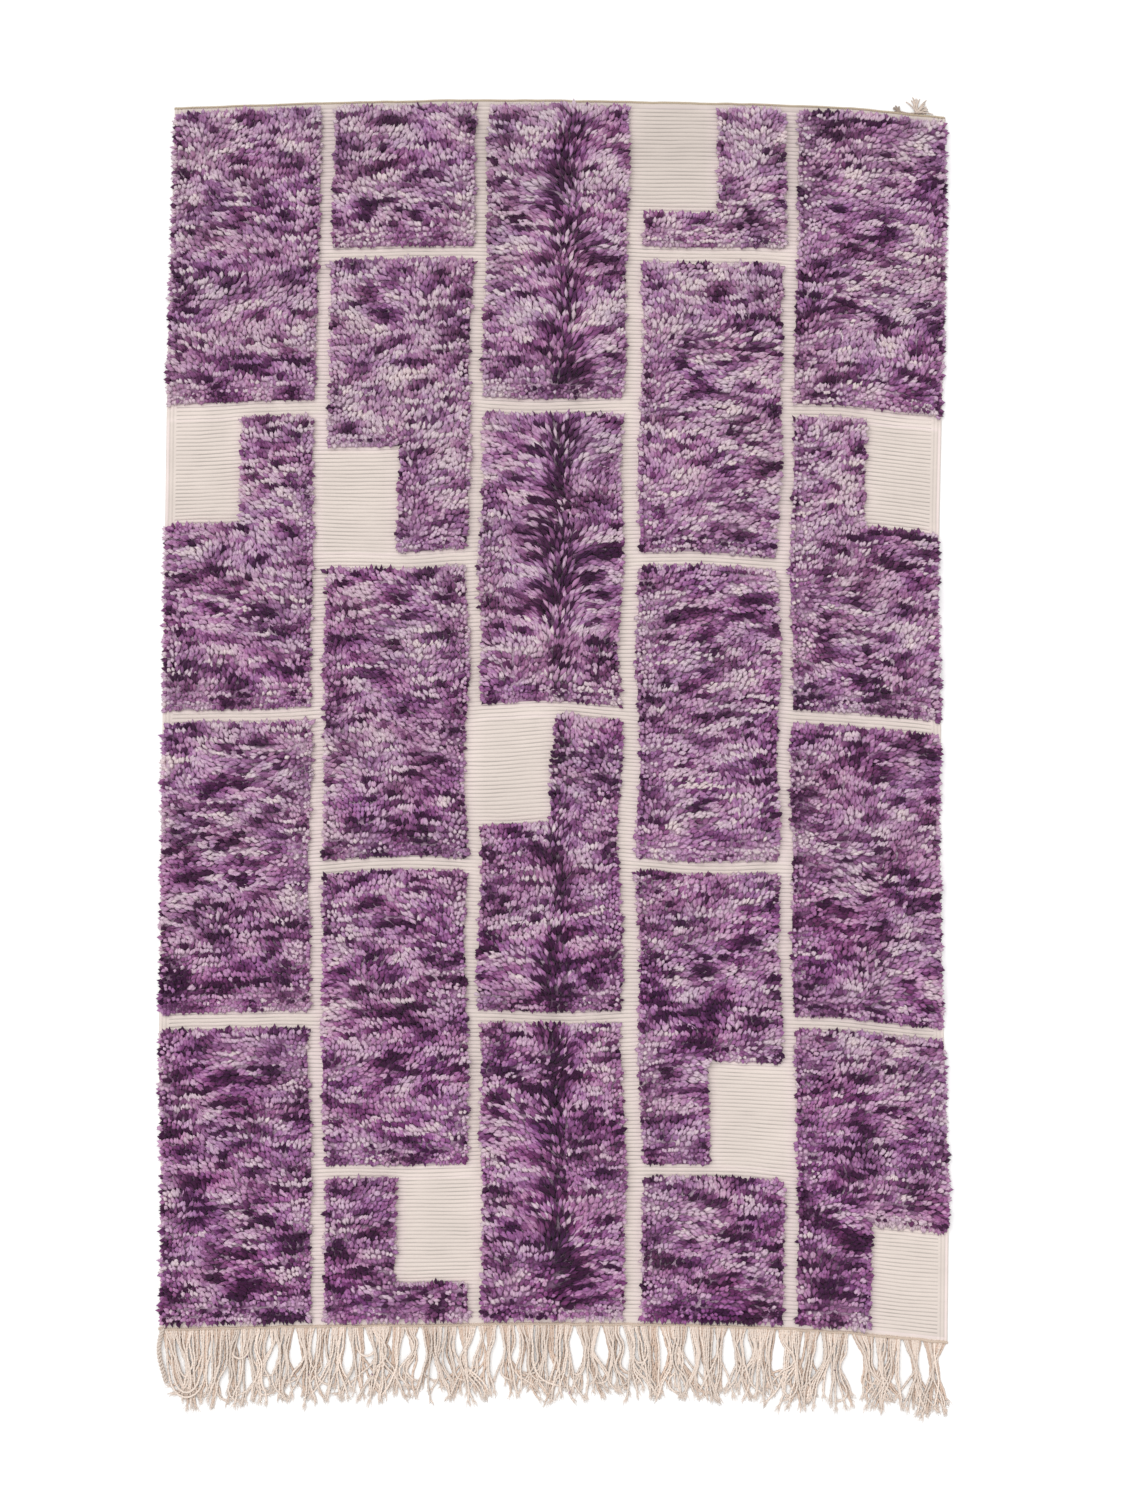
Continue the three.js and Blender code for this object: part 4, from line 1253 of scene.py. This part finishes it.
def fringe_cords():
    """Warp ends in clumps, laid over each other in loose layers, with frayed tips."""
    dice = np.random.default_rng(SEEDS["fringe"])
    pitches = dice.uniform(*CLUMP_WIDTHS, CLUMPS)
    pitches *= WIDTH / pitches.sum()
    middles = np.cumsum(pitches) - pitches / 2
    clump = np.repeat(np.arange(CLUMPS), np.round(pitches / CORD_SPACE).astype(int))
    count = len(clump)
    first = np.searchsorted(clump, np.arange(CLUMPS))
    place = (np.arange(count) - first[clump] + 0.5) / np.bincount(clump)[clump] - 0.5
    narrow = dice.uniform(*LEFT_OPENINGS, CLUMPS)
    opening = np.where(middles < LEFT_END, narrow, dice.uniform(*OPENINGS, CLUMPS))[clump] * MM
    root = middles[clump] + place * (pitches[clump] - CLUMP_GAP)
    x, y = lay(root, np.zeros(count))
    start = np.stack([x, y + CORD_START], axis=1)
    length = CORD_LENGTH * dice.uniform(*CORD_LENGTHS, count)
    length = length * dice.uniform(*CLUMP_LENGTHS, CLUMPS)[clump]

    s = np.linspace(0, 1, CORD_STEPS)[None]
    gather = -place[:, None] * opening[:, None] / GATHER_LENGTH * ramp(s, *GATHER_END)
    mixed = dice.permutation(count) % 3 - 1
    bundle = clump * BUNDLES_IN_CLUMP + ((place + 0.5) * BUNDLES_IN_CLUMP).astype(int)
    bundles = bundle.max() + 1
    shared = dice.normal(0, 1, (bundles, 2))[bundle]
    spread = (place * (SPREAD + opening / OPENING_SPREAD) + mixed * MIXED_SPREAD
              + BUNDLE_SPREAD * shared[:, 0] + dice.normal(0, CORD_SPREAD, count))[:, None]
    sway = (CLUMP_SWAY * dice.normal(0, 1, CLUMPS)[clump])[:, None]
    phase = dice.random((bundles, 2))[bundle]
    waves = s * (BUNDLE_WAVES + phase[:, :1]) + phase[:, 1:]
    kink = BUNDLE_KINK * shared[:, 1:] * np.sin(FULL_TURN * waves)
    for most, counts in KINKS:
        size = dice.uniform(LEAST_KINK, most, count)[:, None]
        waves = s * dice.uniform(*counts, count)[:, None] + dice.random(count)[:, None]
        kink += size * np.sin(FULL_TURN * waves)
    heading = gather + spread * ramp(s, *SPREAD_START) + sway + kink * np.clip(s * KINK_START, 0, 1)
    is_curled = dice.random(count) < CURLED_SHARE
    curl = np.where(is_curled, dice.choice([-1, 1], count) * dice.uniform(*CURLS, count), 0)[:, None]
    heading += curl * ramp(s, *CURL_START)
    away = np.where(root < WIDTH / 2, LEFT_AWAY, RIGHT_AWAY)
    heading += (away * fade(np.minimum(root, WIDTH - root), AWAY_REACH))[:, None]
    px, py = walk(start, heading, length)
    layer = dice.permutation(count)[:, None] % LAYERS
    t = np.linspace(0, 1, CORD_STEPS + 1)[None]
    lift = layer * LAYER_LIFT * ramp(t, *LAYER_START) * ramp(t, *LAYER_END)
    pz = LOW_CORD + lift + (ROOT_HEIGHT - LOW_CORD) * fade(t, ROOT_SHARE)
    paths = np.stack([px, py, np.maximum(LOW_CORD, pz)], axis=2)

    radii = np.full((count, CORD_STEPS), CORD_RADIUS) * dice.uniform(*CORD_RADII, count)[:, None]
    radii[:, -1] *= CORD_END_RADIUS
    tone = dice.normal(1.0, CORD_TONE, count) + BUNDLE_TONE * dice.normal(0, 1, bundles)[bundle]
    tone = tone[:, None] * COTTON
    # Painted shade on the lowest layer
    tone = np.where(layer == 0, tone * LOWEST_PAINTED_SHADE, tone)
    cords = Piece()
    add_plied(cords, paths, radii, tone, CORD_TWIST, dice)
    add_loose_cords(cords, middles, dice)
    tips = Piece()
    add_fray(tips, paths[:, -2], heading[:, -1], dice)
    add_lint(tips, paths, dice)
    return cords.make("fringe_cords", cotton_material), tips.make("fringe_tips", cotton_material)


# Twined cords at the two ends of the weave

TWINED_STEP = 1.9 * MM
TWINED_STAND = 0.8
TWINED_CALM = 9
TWINED_TONE = 0.02
FOOT_CORD_PAST = 2 * MM


def twined_cord(name, start, end, at, lift, radius, colour, twist):
    """A cord of two yarns twined round each other along one end of the weave."""
    dice = np.random.default_rng(SEEDS[name])
    across = np.arange(start, end, TWINED_STEP)
    count = len(across)
    x, y = lay(across, np.full(count, at))
    calm = ramp(np.arange(count), count, -TWINED_CALM)
    y = y + noise(name, x, y) * calm
    gone = np.concatenate([[0], np.hypot(np.diff(x), np.diff(y)).cumsum()])
    phase = gone / twist * 2 * np.pi
    paths = np.stack([
        np.stack([x, y + radius * TWINED_STAND * np.cos(phase + turn),
                  lift + radius * TWINED_STAND * np.sin(phase + turn)], axis=1) for turn in (0, np.pi)])
    points, triangles, owner, corners = yarns(paths, radius, 4)
    piece = Piece()
    piece.add(points, triangles, colour * dice.normal(1, TWINED_TONE, len(points))[:, None], corners)
    return piece.make(name, cotton_material)


fringe, fringe_tips = fringe_cords()
# The foot cord's colour is partly its own cotton and partly painted shade, darkened for the shadow line
# along the foot of the weave
foot_cord = twined_cord(
    "foot_cord", start=-FOOT_CORD_PAST, end=WIDTH + FOOT_CORD_PAST, at=-1.5 * MM, lift=4.6 * MM,
    radius=1.9 * MM, colour=linear("cbb9a9"), twist=9 * MM)
head_cord = twined_cord(
    "head_cord", start=0, end=WIDTH, at=LENGTH + 0.5 * MM, lift=3.8 * MM,
    radius=1.7 * MM, colour=linear("b9aa94"), twist=8 * MM)
for made in (fringe, fringe_tips, foot_cord):
    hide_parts("fringe")
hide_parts("rug")


# Loose tails at the head's right-hand corner. Angles are in degrees from the rug's right.

TAIL_KNOT_ACROSS = 0.962
KNOT_OUT = 4.5 * MM
KNOT_HEIGHT = 4.2 * MM
KNOT_TURNS = 3.2
KNOT_STEPS = 60
KNOT_TILT = 0.9
KNOT_LEAD = 0.7
KNOT_REACHES = (5.0 * MM, 3.6 * MM, 2.6 * MM)
KNOT_DEPTH = 2 * MM
KNOT_SHIFT = [0, -1 * MM, 0.6 * MM]
KNOT_TWIST = 7 * MM
TAILS = 22
TAIL_FAN = (-12, 118)
TAIL_TURN = 7
TAIL_STEPS = 18
TAIL_LENGTH = 33 * MM
TAIL_LENGTHS = (0.72, 1.1)
TAIL_BOW = 0.4
TAIL_BOW_AT = 0.3
TAIL_RADIUS = 1.7 * MM
TAIL_RADII = [0.8, 1, 1.0, 0.6]
TAIL_RADII_AT = [0, 0.15, 0.7, 1]
TAIL_REST = 2.0 * MM
TAIL_LIFT = 1.9 * MM
TAIL_LIFT_UNTIL = 1.2
TAIL_ROOT_LIFT = 1.6 * MM
TAIL_TONE = 0.08
TAIL_TWIST = 8 * MM
TIE_STOP = [-36 * MM, 5 * MM, -1.2 * MM]
TIE_STEPS = 30
TIE_SAG = 3.0 * MM
TIE_LIFT = 0.8 * MM
TIE_RADIUS = 2.0 * MM
TIE_ENDS = 13
TIE_FAN = (95, 215)
TIE_TURN = 8
END_LENGTHS = (8, 15)
END_STEPS = 8
END_START = 2 * MM
END_RADIUS = 1.5 * MM
END_REST = 3.0 * MM
END_SINK = 1.2 * MM
END_TONE = 0.05
END_TWIST = 6 * MM


def corner_tails():
    """The knotted end of the head's cord: a wound knot, a fan of tails, and a short tied end."""
    dice = np.random.default_rng(SEEDS["corner_tails"])
    knot_x, knot_y = lay(np.array(TAIL_KNOT_ACROSS * WIDTH), np.array(LENGTH))
    centre = np.array([knot_x, knot_y + KNOT_OUT, KNOT_HEIGHT])
    piece = Piece()

    angle = np.radians(np.linspace(*TAIL_FAN, TAILS) + dice.normal(0, TAIL_TURN, TAILS))
    s = np.linspace(0, 1, TAIL_STEPS + 1)[None]
    reach = TAIL_LENGTH * dice.uniform(*TAIL_LENGTHS, TAILS)[:, None]
    swing = angle[:, None] + dice.normal(0, TAIL_BOW, TAILS)[:, None] * (s - TAIL_BOW_AT)
    layer = (np.arange(TAILS) % LAYERS)[:, None] * TAIL_LIFT
    z = TAIL_REST + layer * np.clip(TAIL_LIFT_UNTIL - s, 0, 1) + TAIL_ROOT_LIFT * (1 - s)
    x = centre[0] + reach * s * np.cos(swing)
    y = centre[1] + reach * s * np.sin(swing)
    radii = TAIL_RADIUS * np.interp(s[:, :TAIL_STEPS], TAIL_RADII_AT, TAIL_RADII)
    tone = dice.normal(1, TAIL_TONE, TAILS)[:, None] * linear("d6c6ba")
    add_plied(piece, np.stack([x, y, z], axis=2), radii, tone, TAIL_TWIST, dice)

    t = np.linspace(0, 1, KNOT_STEPS + 1)
    wound = FULL_TURN * KNOT_TURNS * t
    ring = np.stack([KNOT_REACHES[0] * np.cos(wound), KNOT_REACHES[1] * np.sin(wound) * np.cos(KNOT_TILT),
                     KNOT_REACHES[2] * np.sin(wound + KNOT_LEAD) * np.sin(KNOT_TILT)
                     + (t - 0.5) * KNOT_DEPTH], axis=1)
    add_cord(piece, centre + ring + KNOT_SHIFT, TIE_RADIUS, linear("c9b8ab"), KNOT_TWIST, dice)

    tie_stop = centre + TIE_STOP
    t = np.linspace(0, 1, TIE_STEPS + 1)[:, None]
    sag = np.concatenate([t * 0, -TIE_SAG * np.sin(np.pi * t), TIE_LIFT * np.sin(np.pi * t)], axis=1)
    tie = centre * (1 - t) + tie_stop * t + sag
    add_cord(piece, tie, TIE_RADIUS, linear("b5a395"), TAIL_TWIST, dice)

    angle = np.radians(np.linspace(*TIE_FAN, TIE_ENDS) + dice.normal(0, TIE_TURN, TIE_ENDS))[:, None]
    s = np.linspace(0, 1, END_STEPS + 1)[None]
    reach = dice.uniform(*END_LENGTHS, TIE_ENDS)[:, None] * MM
    x = tie_stop[0] + END_START + reach * s * np.cos(angle)
    y = tie_stop[1] + reach * s * np.sin(angle)
    z = np.broadcast_to(END_REST - END_SINK * s, x.shape)
    radii = np.full((1, END_STEPS), END_RADIUS)
    tone = dice.normal(1, END_TONE, TIE_ENDS)[:, None] * linear("ac9c90")
    add_plied(piece, np.stack([x, y, z], axis=2), radii, tone, END_TWIST, dice)
    return piece.make("corner_tails_yarn", cotton_material)


tails = corner_tails()
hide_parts("corner_tails")


# Camera, floor and light

PIXEL = 2.05 * MM
PHOTO_HEIGHT = 1500 * PIXEL
PHOTO_CENTRE = (17.3 * MM, 25.9 * MM)
LENS = 85
SENSOR = 36
FARTHEST_SEEN = 100
FLOOR_SIZE = 80
FLOOR_DROP = 0.5 * MM
FLOOR_WHITE = 0.93
SKY_STRENGTH = 0.77
SUN_STRENGTH = 1.6
SUN_WIDTH = 50
SUN_TILT = (-16, -14)


def stage_floor():
    bpy.ops.mesh.primitive_plane_add(size=FLOOR_SIZE, location=(0, 0, -FLOOR_DROP))
    floor = bpy.context.object
    floor.name = "floor"
    material = bpy.data.materials.new("floor_white")
    material.use_nodes = True
    set_inputs(material.node_tree.nodes["Principled BSDF"], {
        "Base Color": (FLOOR_WHITE, FLOOR_WHITE, FLOOR_WHITE, 1), "Roughness": 1, "Specular IOR Level": 0})
    floor.data.materials.append(material)


def studio_light():
    world = bpy.context.scene.world or bpy.data.worlds.new("soft_white")
    bpy.context.scene.world = world
    world.use_nodes = True
    set_inputs(world.node_tree.nodes["Background"], {"Color": (1, 1, 1, 1), "Strength": SKY_STRENGTH})
    data = bpy.data.lights.new("key", "SUN")
    data.energy = SUN_STRENGTH
    data.angle = math.radians(SUN_WIDTH)
    key = bpy.data.objects.new("key", data)
    key.rotation_euler = (math.radians(SUN_TILT[0]), math.radians(SUN_TILT[1]), 0)
    bpy.context.scene.collection.objects.link(key)


def photo_camera():
    data = bpy.data.cameras.new("camera")
    data.lens = LENS
    data.sensor_width = SENSOR
    data.clip_end = FARTHEST_SEEN
    camera = bpy.data.objects.new("camera", data)
    camera.location = (*PHOTO_CENTRE, PHOTO_HEIGHT * LENS / SENSOR)
    bpy.context.scene.collection.objects.link(camera)
    bpy.context.scene.camera = camera


stage_floor()
studio_light()
photo_camera()
bpy.context.scene.view_settings.view_transform = "Standard"
